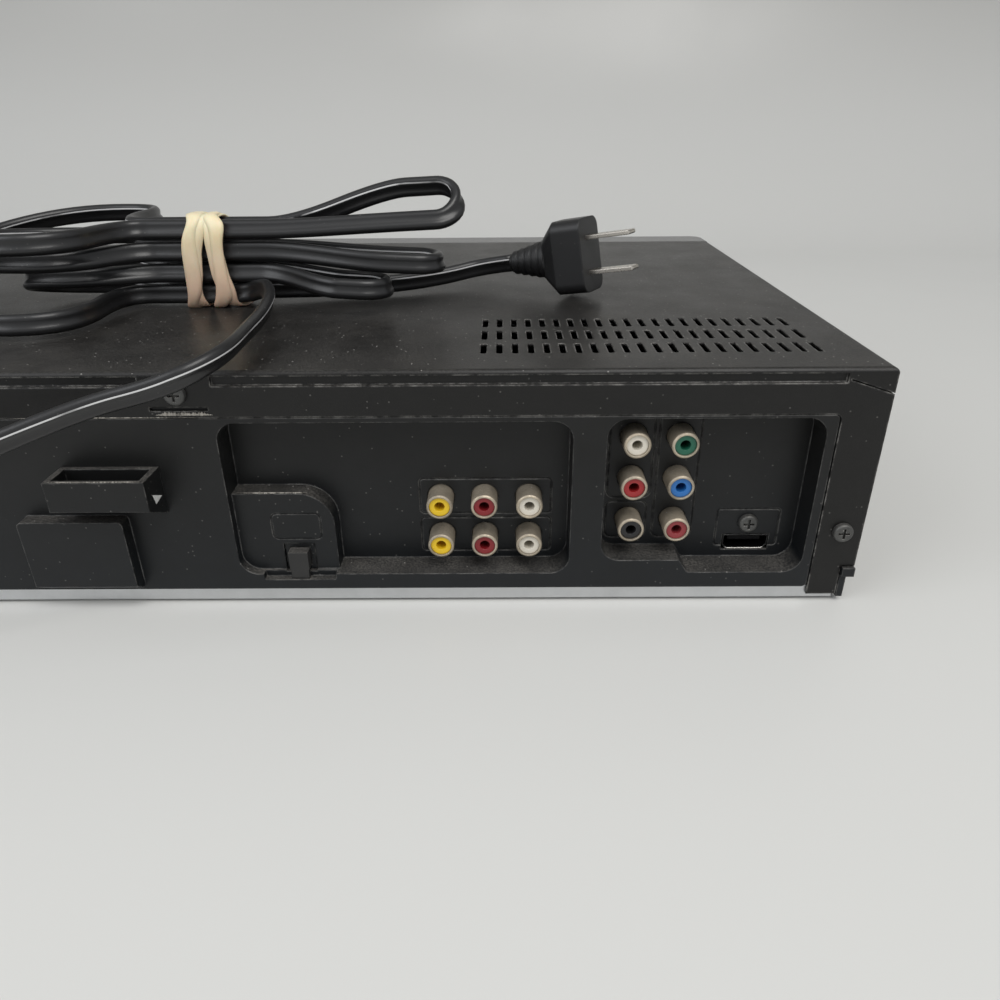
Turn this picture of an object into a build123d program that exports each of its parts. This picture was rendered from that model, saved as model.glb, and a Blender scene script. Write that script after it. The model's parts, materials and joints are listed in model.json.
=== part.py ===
from build123d import *
import math
import os

# A disc and cassette combination player. The frame stands on z = 0, +Y is the rear and +X is the
# cassette deck's side. Distances named ..._U run inwards from the disc side's outer face, and
# heights named ..._Z run up from the underside of the bottom plate.

# ---------------------------------------------------------------- driving dimensions: case
BODY_HEIGHT = 78.0
BODY_DEPTH = 250.0
FRAME_SHIFT = 8.5
SIDE_ROOM = 13.0
FOOT_HEIGHT = 1.2
FOOT_RADIUS = 9.0
FOOT_INSET = 32.0
SHEET = 0.8
SEAT_GAP = 0.2
COVER_LIFT = 1.7
COVER_BEND = 1.6
REAR_FLANGE = 13.9
SIDE_FLANGE = 13.8
STRIP_HEIGHT = 4.4
STRIP_INSET = 5.0
PAN_SIDE_HEIGHT = 14.0
GROOVE_LOW_Z = 73.6
GROOVE_TALL = 2.9
GROOVE_DEPTH = 1.2
GROOVE_START_U = 14.1
MID_SCREW_U = 206.9
MID_SCREW_Z = 71.4
GROOVE_SCREW_GAP = 10.5
JOG_WIDTH = 17.0
JOG_LOW_Z = 66.2
JOG_TALL = 1.1
SIDE_SCREW_U = 6.4
SIDE_SCREW_Z = 25.0
WALL_SCREW_Z = 9.5
WALL_SCREW_STEP = 150.0
SCREW_HEAD_RADIUS = 3.1
SCREW_HEAD_TALL = 1.9
SCREW_SHANK_RADIUS = 1.5
SCREW_LENGTH = 7.0
SCREW_FIT = 0.1
VENT_COLUMNS = 22
VENT_ROWS = 3
VENT_FIRST_U = 16.3
VENT_PITCH = 4.867
VENT_FIRST_V = 22.0
VENT_ROW_PITCH = 15.6
VENT_WIDTH = 1.9
VENT_LENGTH = 10.9

# ---------------------------------------------------------------- driving dimensions: rear panel
PANEL_WALL = 2.0
PANEL_TALL = 72.4
FIELD_INSET = 14.3
RECESS_DEPTH = 10.4
POCKET_WALL = 1.5
LINE_RECESS_U = (91.8, 197.5)
LINE_RECESS_Z = (10.1, 62.3)
HD_RECESS_U = (17.2, 81.7)
HD_RECESS_Z = (10.1, 63.0)
HD_STEP_U = (53.5, 56.5)
HD_STEP_Z = 14.75
RECESS_CORNER = 6.0
PLATEAU_U = 166.3
PLATEAU_Z = 37.4
PLATEAU_DEPTH = 3.5
PLATEAU_CORNER = 11.0
LIP_U = (167.0, 190.3)
LIP_Z = (8.0, 12.0)
LIP_DEPTH = 2.6
LINE_DEPTH = 0.3
LINE_WIDTH = 0.5
BULGE_U = (229.5, 262.0)
BULGE_Z = (5.2, 32.0)
BULGE_REACH = 5.0
BULGE_CLIMB = 3.6
HOOK_U = (216.5, 246.0)
HOOK_Z = (33.0, 48.6)
HOOK_REACH = 11.5
HOOK_CLIMB = 6.0
HOOK_WALL = 1.8
LATCH_U = (1.9, 4.0)
LATCH_Z = (0.7, 12.0)
LATCH_KNOB_TALL = 3.1
NOTCH_GAP = 0.3

# ---------------------------------------------------------------- driving dimensions: sockets
RCA_RADIUS = 4.15
RCA_BORE = 3.35
RCA_REACH = 8.2
RCA_PIN_BORE = 1.6
RCA_INSERT_SETBACK = 0.7
RCA_LINE_U = (132.7, 118.7, 104.5)
RCA_LINE_Z = (32.9, 19.0)
RCA_HD_U = (72.2, 57.7)
RCA_HD_Z = (53.4, 39.2, 24.4)
JACK_DEPTH = 13.0
JACK_MARGIN = 6.6
HDMI_U = 32.8
HDMI_Z = 15.5
HDMI_WIDTH = 14.9
HDMI_TALL = 5.4
HDMI_SHELL = 0.4
HDMI_LENGTH = 12.0
HDMI_SCREW_Z = 22.8
OPTICAL_U = 178.6
OPTICAL_Z = 14.6
OPTICAL_SIZE = 9.6
OPTICAL_PORT = 6.6
OPTICAL_LENGTH = 13.0
CAP_INSERT = 5.0
CAP_GRIP = 3.6
CAP_TONGUE_TALL = 9.4
RF_U = (286.0, 326.0)
RF_TALL = 40.0
RF_DEPTH = 16.0
RF_PORT_RADIUS = 4.8
RF_PORT_REACH = 9.0

# ---------------------------------------------------------------- driving dimensions: front
BEZEL_DEPTH = 20.0
BEZEL_WALL = 2.2
BEZEL_CORNER = 7.0
TRAY_SLOT_TALL = 13.0
TRAY_DOOR_GAP = 0.5
FLAP_WIDTH = 192.0
FLAP_TALL = 29.0
FLAP_LOW_Z = 42.0
FLAP_THICK = 1.8
FLAP_PIN_RADIUS = 1.2
FLAP_GAP = 0.4
STRIP_LOW_Z = 12.0
STRIP_TALL = 18.0
STRIP_SINK = 1.6
DISPLAY_WIDTH = 104.0
DISPLAY_FROM_DISC = 94.0
BUTTON_NAMES = ("power", "disc_eject", "tape_eject", "rewind", "stop", "play", "forward")
DISC_BUTTONS = (-64.0, -36.0)
DECK_BUTTONS_START = -16.0
DECK_BUTTON_PITCH = 22.0
BUTTON_WIDTH = 14.0
BUTTON_TALL = 7.0
BUTTON_REACH = 1.2
BUTTON_TRAVEL = 0.8
BUTTON_GAP = 0.3
BUTTON_RIM = 1.2
BUTTON_STEM_RADIUS = 1.5
FRONT_JACK_INSET = 21.0
FRONT_JACK_PITCH = 15.0
KEY_BOARD_INSET = 14.0
KEY_LEG_PITCH = 100.0

# ---------------------------------------------------------------- driving dimensions: frame
FRAME_WALL = 2.0
FRAME_WALL_TALL = 36.0
FRAME_FLOOR = 1.6
BOSS_RADIUS = 3.0
BOARD_THICK = 1.6
BOARD_LIFT = 6.0

# ---------------------------------------------------------------- driving dimensions: disc drive
LOADER_HALF = 74.0
LOADER_DEPTH = 165.0
LOADER_BASE_Z = 14.0
LOADER_FLOOR = 2.0
LOADER_WALL = 2.4
TRAY_HALF = 65.0
TRAY_LENGTH = 150.0
TRAY_UNDER_Z = 42.0
TRAY_FLOOR = 1.6
TRAY_RIM = 2.6
TRAY_SIDE_GAP = 0.5
TRAY_RUN_GAP = 0.1
DISC_RECESS_RADIUS = 60.6
DISC_INSET = 65.0
WINDOW_HALF = 24.0
WINDOW_LEAD = 22.0
RACK_X = 52.0
RACK_WIDE = 2.4
RACK_TALL = 3.2
GEAR_RADIUS = 9.0
GEAR_TEETH = 24
GEAR_GAP = 0.3
SHAFT_RADIUS = 1.5
SHAFT_FIT = 0.05
BELT_THICK = 1.0
BELT_TALL = 1.4
PULLEY_RADIUS = 3.0
PULLEY_TALL = 3.4
MOTOR_RADIUS = 9.0
TRAVERSE_HALF = 46.0
TRAVERSE_FRONT = 24.0
TRAVERSE_LENGTH = 118.0
TRAVERSE_WALL = 3.0
TRAVERSE_TALL = 7.0
TRAVERSE_TOP_Z = 34.0
HUB_RADIUS = 15.0
HUB_TALL = 3.4
HUB_GAP = 1.6
CONE_RADIUS = 7.2
CONE_TALL = 2.2
SPINDLE_MOTOR_RADIUS = 12.0
SPINDLE_MOTOR_TALL = 6.0
SLED_LENGTH = 30.0
SLED_TALL = 6.0
SLED_START = 17.0
ROD_RADIUS = 1.5
ROD_X = 24.0
LENS_RADIUS = 3.5
PUCK_RADIUS = 16.5
PUCK_FLANGE = 2.2
PUCK_GAP = 0.7
BRIDGE_SHEET = 1.2
BRIDGE_WIDE = 44.0

# ---------------------------------------------------------------- driving dimensions: tape deck
DECK_HALF = 99.0
DRIVE_GAP = 15.0
DECK_FRONT = 108.0
DECK_BACK = 94.5
DECK_TOP_Z = 20.0
DECK_SHEET = 1.5
GUIDE_SHEET = 1.2
GUIDE_TALL = 52.0
GUIDE_LENGTH = 146.0
HOLDER_HALF = 95.0
HOLDER_LENGTH = 78.0
HOLDER_SHEET = 1.2
HOLDER_LEDGE = 12.0
LEDGE_Z = 43.0
HOLDER_INNER_TALL = 26.5
HOLDER_GAP = 0.4
CARRIAGE_TRAVEL = 52.0
DROP_TRAVEL = 18.0
SLIDE_PIN_RADIUS = 2.0
SLIDE_PIN_STEP = 30.0
SLIDE_PIN_FIT = 0.1
SLIDE_SLOT_Z = 63.0
SLIDER_LOW_Z = 38.0
DROP_PIN_Z = 60.0
CROSSBAR_TALL = 1.5
CROSSBAR_WIDE = 10.0
DRUM_RADIUS = 31.0
DRUM_Y = 63.0
DRUM_LOWER_TALL = 18.0
DRUM_UPPER_TALL = 17.0
DRUM_STAND = 4.0
DRUM_SHAFT_RADIUS = 3.0
DRUM_GAP = 0.3
CAPSTAN_X = 60.0
CAPSTAN_Y = 40.0
CAPSTAN_RADIUS = 1.5
CAPSTAN_TOP_Z = 44.0
FLYWHEEL_RADIUS = 20.0
FLYWHEEL_TALL = 5.0
FLYWHEEL_GAP = 1.5
PINCH_PIVOT_X = 80.0
PINCH_PIVOT_Y = 46.0
PINCH_SWING = 20.0
PINCH_GAP = 0.3
PINCH_ROLLER_RADIUS = 6.0
PINCH_ROLLER_TALL = 12.0
PINCH_ARM_THICK = 2.0
PINCH_ARM_WIDE = 5.0
REEL_X = 46.0
REEL_Y = -27.0
REEL_RADIUS = 24.0
REEL_TALL = 3.0
REEL_SPINDLE_RADIUS = 5.0
REEL_TOP_Z = 38.0
POST_START_X = 30.0
POST_START_Y = 16.0
POST_TRAVEL_X = 14.0
POST_TRAVEL_Y = 34.0
POST_RADIUS = 3.0
POST_TALL = 20.0
POST_BASE = 5.0
CAM_X = -78.0
CAM_Y = 44.0
CAM_RADIUS = 13.0
CAM_TALL = 5.0

# ---------------------------------------------------------------- driving dimensions: power
POWER_BOARD_WIDTH = 43.0
POWER_BOARD_GAP = 5.0
POWER_BOARD_INSET = 8.0
FIN_TALL = 34.0
POWER_BOARD_Y = (-70.0, 96.0)
TRANSFORMER_SIZE = 30.0
TRANSFORMER_TALL = 26.0
CAPACITOR_RADII = (11.0, 6.5, 5.0, 5.0)
CAPACITOR_TALLS = (32.0, 20.0, 16.0, 16.0)

# ---------------------------------------------------------------- driving dimensions: cord
CORD_WIDTH = 7.0
CORD_EXIT_INSET = 30.0
CORD_EXIT_Z = 22.0
RELIEF_RADIUS = 5.2
RELIEF_REACH = 12.0
RELIEF_FLANGE = 1.6
HANK_X = 5.0
HANK_V = 84.0
HANK_PITCH = 7.6
BAND_THICK = 0.9
BAND_GAP = 0.3
BAND_WIDE = 20.0
BAND_LEFT_GAP = 2.0
LEFT_LOOPS = 4
LEFT_START = 54.0
LEFT_RADIUS = 14.0
LEFT_RADIUS_STEP = 12.0
RIGHT_LOOP_RADIUS = 8.0
RIGHT_END_X = (-52.0, -68.0, -78.0)
RIGHT_END_V = (72.0, 80.0, 85.0)
RIGHT_END_H = (12.2, 20.6, 36.0)
RIGHT_TILT = (0.0, 0.0, 40.0)
PLUG_YAW = 30.0
PLUG_PITCH = 10.0
PLUG_FACE = (-136.0, 92.0, 16.4)
PLUG_HEAD = (12.0, 17.0, 27.0)
PLUG_NECK = 22.0
PLUG_NECK_RADII = (7.5, 4.6)
PLUG_RIBS = 5
BLADE_SPACING = 12.7
BLADE_LENGTH = 17.5
BLADE_WIDE = 6.3
BLADE_THICK = 1.5

# ---------------------------------------------------------------- places that follow from them
DRIVES_WIDTH = 2 * LOADER_HALF + DRIVE_GAP + 2 * DECK_HALF
CASE_WIDTH = SIDE_ROOM + DRIVES_WIDTH + POWER_BOARD_GAP + POWER_BOARD_WIDTH + POWER_BOARD_INSET
EDGE = CASE_WIDTH / 2
DISC_X = SIDE_ROOM + LOADER_HALF - EDGE
DECK_X = DISC_X + LOADER_HALF + DRIVE_GAP + DECK_HALF
POWER_BOARD_X = (EDGE - POWER_BOARD_INSET - POWER_BOARD_WIDTH, EDGE - POWER_BOARD_INSET)
DISPLAY_X = DISC_X + DISPLAY_FROM_DISC
DECK_BUTTONS_X = tuple(DECK_X + DECK_BUTTONS_START + DECK_BUTTON_PITCH * i for i in range(5))
BUTTON_X = (DISC_X + DISC_BUTTONS[0], DISC_X + DISC_BUTTONS[1]) + DECK_BUTTONS_X
FRONT_JACK_X = tuple(EDGE - FRONT_JACK_INSET - FRONT_JACK_PITCH * i for i in (2, 1, 0))
CORD_EXIT_X = EDGE - CORD_EXIT_INSET
REAR = BODY_DEPTH / 2 - FRAME_SHIFT
FRONT = REAR - BODY_DEPTH
BASE = FOOT_HEIGHT
TOP = BASE + BODY_HEIGHT
COVER_FRONT = FRONT + BEZEL_DEPTH
PAN_HALF = EDGE - SHEET - SEAT_GAP
PAN_REAR = REAR - SHEET - SEAT_GAP
PAN_TOP = BASE + SHEET
INNER_HALF = PAN_HALF - SHEET - SEAT_GAP
FRAME_HALF = INNER_HALF
PLATE_BACK = PAN_REAR - PANEL_WALL
FLOOR_FACE = REAR - RECESS_DEPTH
FLOOR_BACK = FLOOR_FACE - POCKET_WALL
JACK_REAR = FLOOR_BACK - SEAT_GAP
FRAME_REAR = FLOOR_BACK - 2 * SEAT_GAP
FRAME_FRONT = COVER_FRONT + 8.0
FRAME_TOP = PAN_TOP + FRAME_FLOOR
BOARD_LOW = PAN_TOP + BOARD_LIFT
BOARD_TOP = BOARD_LOW + BOARD_THICK


def block(x0, x1, y0, y1, z0, z1):
    centre = Pos((x0 + x1) / 2, (y0 + y1) / 2, (z0 + z1) / 2)
    return centre * Box(x1 - x0, y1 - y0, z1 - z0)


def rod_x(y, z, x0, x1, radius):
    return Pos((x0 + x1) / 2, y, z) * Rot(0, 90, 0) * Cylinder(radius, x1 - x0)


def rod_y(x, z, y0, y1, radius):
    return Pos(x, (y0 + y1) / 2, z) * Rot(90, 0, 0) * Cylinder(radius, y1 - y0)


def rod_z(x, y, z0, z1, radius):
    return Pos(x, y, (z0 + z1) / 2) * Cylinder(radius, z1 - z0)


def ring_z(x, y, z0, z1, outer, inner):
    return rod_z(x, y, z0, z1, outer) - rod_z(x, y, z0, z1, inner)


def along_y(face, y0, y1):
    """Extrude a face drawn in X and Z from y0 to y1."""
    return extrude(Plane.XZ.offset(-y1) * face, y1 - y0)


def along_x(points, x0, x1):
    """Extrude an outline given as points of y and z from x0 to x1."""
    face = make_face(Polyline(*points, close=True))
    return extrude(Plane.YZ.offset(x0) * face, x1 - x0)


def round_bar_y(x0, x1, z0, z1, radius, y0, y1):
    face = Pos((x0 + x1) / 2, (z0 + z1) / 2) * RectangleRounded(x1 - x0, z1 - z0, radius)
    return along_y(face, y0, y1)


def at(distance):
    """The x of a distance measured inwards from the disc side's outer face."""
    return distance - EDGE


def span(distances):
    return (at(distances[0]), at(distances[1]))


def up(height):
    """The z of a height measured from the underside of the bottom plate."""
    return BASE + height


def gear_z(x, y, z0, z1, radius, teeth):
    """A straight-cut gear with square-shouldered teeth."""
    depth = 0.12 * radius
    width = math.pi * radius / teeth * 0.9
    tooth = Box(2 * depth, width, z1 - z0)
    wheel = Cylinder(radius - depth, z1 - z0)
    ring = [Rot(0, 0, 360 * i / teeth) * Pos(radius - depth, 0, 0) * tooth for i in range(teeth)]
    hub = Cylinder(radius, z1 - z0)
    return Pos(x, y, (z0 + z1) / 2) * ((wheel + ring) & hub)


# ---------------------------------------------------------------- case
def bottom_plate():
    outer = block(-PAN_HALF, PAN_HALF, COVER_FRONT - 8.0, PAN_REAR, BASE, BASE + PAN_SIDE_HEIGHT)
    inner = block(-PAN_HALF + SHEET, PAN_HALF - SHEET, COVER_FRONT - 9.0, PAN_REAR - SHEET,
                  PAN_TOP, TOP)
    above_strip = block(-EDGE, EDGE, PAN_REAR - PAN_SIDE_HEIGHT, REAR, BASE + STRIP_HEIGHT, TOP)
    nose = block(-EDGE, EDGE, FRONT, COVER_FRONT + SEAT_GAP, PAN_TOP, TOP)
    pan = outer - inner - above_strip - nose
    for side in (-1, 1):
        ends = sorted((side * EDGE, side * (EDGE - STRIP_INSET)))
        pan -= block(*ends, PAN_REAR - 3.0, REAR, BASE - 1.0, TOP)
        for y in wall_screw_places():
            pan -= rod_x(y, up(WALL_SCREW_Z), *sorted((side * EDGE, side * (PAN_HALF - 2 * SHEET))),
                         SCREW_SHANK_RADIUS + SCREW_FIT)
    return pan


def feet():
    places = GridLocations(2 * (EDGE - FOOT_INSET), BODY_DEPTH - 2 * FOOT_INSET, 2, 2)
    middle = (FRONT + REAR) / 2
    return [Pos(0, middle, FOOT_HEIGHT / 2) * place * Cylinder(FOOT_RADIUS, FOOT_HEIGHT)
            for place in places]


def wall_screw_places():
    middle = (COVER_FRONT + REAR) / 2
    return (middle - WALL_SCREW_STEP / 2, middle + WALL_SCREW_STEP / 2)


def rear_screw_places():
    return ((at(MID_SCREW_U), up(MID_SCREW_Z)), (at(SIDE_SCREW_U), up(SIDE_SCREW_Z)),
            (-at(SIDE_SCREW_U), up(SIDE_SCREW_Z)))


def groove_spans():
    left_end = MID_SCREW_U - GROOVE_SCREW_GAP
    right_start = MID_SCREW_U + GROOVE_SCREW_GAP
    return (span((GROOVE_START_U, left_end)), span((right_start, CASE_WIDTH - GROOVE_START_U)))


def cover_shell():
    outer = block(-EDGE, EDGE, COVER_FRONT, REAR, up(COVER_LIFT), TOP)
    bends = outer.edges().filter_by(Axis.Y).group_by(Axis.Z)[-1]
    bends += outer.faces().sort_by(Axis.Y)[-1].edges().filter_by(Axis.X).sort_by(Axis.Z)[-1:]
    outer = fillet(bends, COVER_BEND)
    inner = block(-EDGE + SHEET, EDGE - SHEET, COVER_FRONT - 1.0, REAR - SHEET, 0, TOP - SHEET)
    inner = fillet(inner.edges().filter_by(Axis.Y).group_by(Axis.Z)[-1], COVER_BEND - SHEET)
    return outer - inner


def vent_slots():
    slot = RectangleRounded(VENT_WIDTH, VENT_LENGTH, VENT_WIDTH * 0.42)
    middle_x = at(VENT_FIRST_U + VENT_PITCH * (VENT_COLUMNS - 1) / 2)
    middle_y = REAR - VENT_FIRST_V - VENT_ROW_PITCH * (VENT_ROWS - 1) / 2
    grid = GridLocations(VENT_PITCH, VENT_ROW_PITCH, VENT_COLUMNS, VENT_ROWS)
    faces = Sketch() + [Pos(middle_x, middle_y) * place * slot for place in grid]
    return extrude(Pos(0, 0, TOP - 2 * SHEET) * faces, 3 * SHEET)


def top_cover():
    cover = cover_shell()
    field = EDGE - SIDE_FLANGE
    cover -= round_bar_y(-field, field, -TOP, TOP - REAR_FLANGE, 2.0, REAR - 3.0, REAR + 1.0)
    for x0, x1 in groove_spans():
        cover += block(x0 - SHEET, x1 + SHEET, REAR - GROOVE_DEPTH - SHEET, REAR - SHEET / 2,
                       up(GROOVE_LOW_Z) - SHEET, up(GROOVE_LOW_Z + GROOVE_TALL) + SHEET / 2)
        cover -= block(x0, x1, REAR - GROOVE_DEPTH, REAR + 1.0,
                       up(GROOVE_LOW_Z), up(GROOVE_LOW_Z + GROOVE_TALL))
    jog = at(MID_SCREW_U)
    cover -= block(jog - JOG_WIDTH / 2, jog + JOG_WIDTH / 2, REAR - 2 * SHEET, REAR + 1.0,
                   up(JOG_LOW_Z), up(JOG_LOW_Z + JOG_TALL))
    for x, z in rear_screw_places():
        cover -= rod_y(x, z, REAR - 3.0, REAR + 1.0, SCREW_SHANK_RADIUS + SCREW_FIT)
    for side in (-1, 1):
        for y in wall_screw_places():
            cover -= rod_x(y, up(WALL_SCREW_Z), *sorted((side * (EDGE + 1), side * (EDGE - 2))),
                           SCREW_SHANK_RADIUS + SCREW_FIT)
        notch = sorted((side * (EDGE + 1.0), side * (EDGE - LATCH_U[1] - NOTCH_GAP)))
        cover -= block(*notch, REAR - 4.0, REAR + 1.0, 0, up(LATCH_Z[1] + NOTCH_GAP))
        slit = Pos(side * (EDGE - 6.5), REAR, up(72.4)) * Rot(0, side * 18, 0) * Box(14, 4, 0.4)
        cover -= slit
    return cover - vent_slots()


def head_screw(length):
    """A pan head with a cross recess on a plain shank, pointing along +Z from its seat."""
    head = Cylinder(SCREW_HEAD_RADIUS, SCREW_HEAD_TALL, align=(Align.CENTER, Align.CENTER, Align.MIN))
    head = fillet(head.edges().group_by(Axis.Z)[-1], 0.9)
    arm = Box(3.6, 0.8, 2.4) + Box(0.8, 3.6, 2.4)
    head -= Pos(0, 0, SCREW_HEAD_TALL) * arm
    shank = Cylinder(SCREW_SHANK_RADIUS, length, align=(Align.CENTER, Align.CENTER, Align.MAX))
    return head + shank


def case_screws():
    rear = Rot(-90, 0, 0) * head_screw(SCREW_LENGTH)
    screws = [Pos(x, REAR, z) * rear for x, z in rear_screw_places()]
    screws.append(Pos(at(HDMI_U), FLOOR_FACE, up(HDMI_SCREW_Z)) * rear)
    for side in (-1, 1):
        wall = Rot(0, 90 * side, 0) * head_screw(SHEET * 2 + SEAT_GAP)
        screws += [Pos(side * EDGE, y, up(WALL_SCREW_Z)) * wall for y in wall_screw_places()]
    return screws


# ---------------------------------------------------------------- rear panel
def line_outline(grow):
    x0, x1 = span(LINE_RECESS_U)
    z0, z1 = up(LINE_RECESS_Z[0]), up(LINE_RECESS_Z[1])
    face = RectangleRounded(x1 - x0 + 2 * grow, z1 - z0 + 2 * grow, RECESS_CORNER + grow)
    return Pos((x0 + x1) / 2, (z0 + z1) / 2) * face


def hd_outline(grow):
    x0, x1 = span(HD_RECESS_U)
    s0, s1 = span(HD_STEP_U)
    z0, z1 = up(HD_RECESS_Z[0]) - grow, up(HD_RECESS_Z[1]) + grow
    step = up(HD_STEP_Z) - grow
    corners = [(x0 - grow, z0), (s0, z0), (s1, step), (x1 + grow, step), (x1 + grow, z1),
               (x0 - grow, z1)]
    corner = RECESS_CORNER + grow
    line = FilletPolyline(*corners, radius=[corner, 1.0, 1.0, corner, corner, corner], close=True)
    return make_face(line)


def plateau_face():
    x0, x1 = at(PLATEAU_U), at(LINE_RECESS_U[1]) + POCKET_WALL / 2
    z0, z1 = up(LINE_RECESS_Z[0]) - POCKET_WALL / 2, up(PLATEAU_Z)
    line = FilletPolyline((x0, z0), (x1, z0), (x1, z1), (x0, z1),
                          radius=[0.0, 0.0, 0.0, PLATEAU_CORNER], close=True)
    return make_face(line)


def engraved(x0, x1, z0, z1, radius, y):
    """A thin groove that runs round a rounded rectangle, cut into a face that looks rearwards."""
    middle = Pos((x0 + x1) / 2, (z0 + z1) / 2)
    wide, tall = x1 - x0, z1 - z0
    inner = RectangleRounded(wide - 2 * LINE_WIDTH, tall - 2 * LINE_WIDTH, radius - LINE_WIDTH)
    frame = RectangleRounded(wide, tall, radius) - inner
    return along_y(middle * frame, y - LINE_DEPTH, y + 1.0)


def socket_frames():
    """The grooves that group the sockets."""
    x0, x1 = at(RCA_LINE_U[2]) - 7.5, at(RCA_LINE_U[0]) + 7.0
    cuts = [engraved(x0, x1, up(z) - 6.4, up(z) + 6.4, 1.5, FLOOR_FACE) for z in RCA_LINE_Z]
    low, mid, high = (up(z) for z in reversed(RCA_HD_Z))
    cuts.append(engraved(at(RCA_HD_U[0]) - 6.8, at(RCA_HD_U[0]) + 7.6, mid - 7.2, high + 8.4,
                         2.5, FLOOR_FACE))
    cuts.append(engraved(at(RCA_HD_U[0]) - 6.0, at(RCA_HD_U[0]) + 7.6, low - 7.0, low + 6.6,
                         2.5, FLOOR_FACE))
    cuts.append(engraved(at(RCA_HD_U[1]) - 6.6, at(RCA_HD_U[1]) + 6.6, low - 7.0, high + 8.4,
                         2.5, FLOOR_FACE))
    cuts.append(engraved(at(HDMI_U) - 10.4, at(HDMI_U) + 10.4, up(HDMI_Z) - 1.4, up(HDMI_Z) + 12.4,
                         1.2, FLOOR_FACE))
    cuts.append(engraved(at(OPTICAL_U) - 8.0, at(OPTICAL_U) + 8.0, up(OPTICAL_Z) + 6.4,
                         up(OPTICAL_Z) + 16.0, 2.0, REAR - PLATEAU_DEPTH))
    return cuts


def panel_plate():
    low = up(STRIP_HEIGHT) + SEAT_GAP
    plate = block(-INNER_HALF, INNER_HALF, PLATE_BACK, PAN_REAR, low, up(PANEL_TALL))
    field_x = EDGE - FIELD_INSET
    field_z = TOP - REAR_FLANGE - SEAT_GAP
    field = round_bar_y(-field_x, field_x, low, field_z, 1.5, PLATE_BACK, REAR)
    bulge = round_bar_y(*span(BULGE_U), up(BULGE_Z[0]), up(BULGE_Z[1]), 1.5, PLATE_BACK,
                        REAR + BULGE_REACH)
    low, out = up(BULGE_Z[0]), REAR + BULGE_REACH
    below = [(REAR, low), (out, low + BULGE_CLIMB), (out + 1.0, low + BULGE_CLIMB), (out + 1.0, low - 1.0),
             (REAR, low - 1.0)]
    panel = plate + field + (bulge - along_x(below, at(BULGE_U[0]) - 1.0, at(BULGE_U[1]) + 1.0))
    for side in (-1, 1):
        bar = sorted((side * (EDGE - LATCH_U[0]), side * (EDGE - LATCH_U[1])))
        knob = sorted((side * EDGE, side * (EDGE - LATCH_U[1])))
        panel += block(*bar, PLATE_BACK, REAR, up(LATCH_Z[0]), up(LATCH_Z[1]))
        panel += block(*knob, REAR - 2.0, REAR + 1.2, up(LATCH_Z[1] - LATCH_KNOB_TALL),
                       up(LATCH_Z[1]))
    return panel


def rca_places():
    line = [(at(u), up(z)) for z in RCA_LINE_Z for u in RCA_LINE_U]
    group = [(at(u), up(z)) for u in RCA_HD_U for z in RCA_HD_Z]
    return line, group


def rear_panel():
    panel = panel_plate()
    for outline in (line_outline, hd_outline):
        panel += along_y(outline(POCKET_WALL), FLOOR_BACK, PAN_REAR)
        panel -= along_y(outline(0.0), FLOOR_FACE, REAR + 1.0)
    panel += along_y(plateau_face(), FLOOR_FACE - POCKET_WALL / 2, REAR - PLATEAU_DEPTH)
    panel -= round_bar_y(*span(LIP_U), up(LIP_Z[0]), up(LIP_Z[1]), 0.6, REAR - LIP_DEPTH, REAR + 1)
    for x, z in rca_places()[0] + rca_places()[1]:
        panel -= rod_y(x, z, FLOOR_BACK - 1.0, REAR, RCA_RADIUS + SEAT_GAP)
    half = HDMI_WIDTH / 2 + SEAT_GAP
    panel -= block(at(HDMI_U) - half, at(HDMI_U) + half, FLOOR_BACK - 1.0, REAR,
                   up(HDMI_Z) - HDMI_TALL / 2 - SEAT_GAP, up(HDMI_Z) + HDMI_TALL / 2 + SEAT_GAP)
    half = OPTICAL_SIZE / 2 + SEAT_GAP
    panel -= block(at(OPTICAL_U) - half, at(OPTICAL_U) + half, FLOOR_BACK - 1.0, REAR + 1.0,
                   up(OPTICAL_Z) - half, up(OPTICAL_Z) + half)
    for z in rf_port_heights():
        panel -= rod_y(rf_x(), z, PLATE_BACK - 1.0, REAR + 1.0, RF_PORT_RADIUS + SEAT_GAP)
    panel -= rod_y(CORD_EXIT_X, up(CORD_EXIT_Z), PLATE_BACK - 1.0, REAR + 1.0, RELIEF_RADIUS)
    for x, z in rear_screw_places():
        panel -= rod_y(x, z, PLATE_BACK - 1.0, REAR, SCREW_SHANK_RADIUS + SCREW_FIT)
    panel -= rod_y(at(HDMI_U), up(HDMI_SCREW_Z), FLOOR_BACK - 1.0, FLOOR_FACE + 1.0,
                   SCREW_SHANK_RADIUS + SCREW_FIT)
    return panel - socket_frames()


def hook_slice(x0, x1, wall, top):
    """The hook's side view, its underside climbing outwards, drawn in from each face by wall."""
    near, far = wall, HOOK_REACH - wall
    low, climb = up(HOOK_Z[0]) + wall, HOOK_CLIMB / HOOK_REACH
    points = [(REAR + near, low + climb * near), (REAR + far, low + climb * far), (REAR + far, top),
              (REAR + near, top)]
    return along_x(points, x0, x1)


def cord_hook():
    """A scoop, open at its top, that stands out from the panel to hang the cord on."""
    x0, x1 = span(HOOK_U)
    top = up(HOOK_Z[1])
    return hook_slice(x0, x1, 0.0, top) - hook_slice(x0 + HOOK_WALL, x1 - HOOK_WALL, HOOK_WALL, top + 1.0)


# ---------------------------------------------------------------- sockets
def rca_tube(x, z, rear_end, front_end):
    shell = rod_y(x, z, front_end, rear_end, RCA_RADIUS)
    shell = chamfer(shell.edges().group_by(Axis.Y)[-1], 0.4)
    return shell - rod_y(x, z, front_end - 1.0, rear_end + 1.0, RCA_BORE)


def rca_shells():
    line, group = rca_places()
    return [rca_tube(x, z, FLOOR_FACE + RCA_REACH, JACK_REAR - 2.0) for x, z in line + group]


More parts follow.
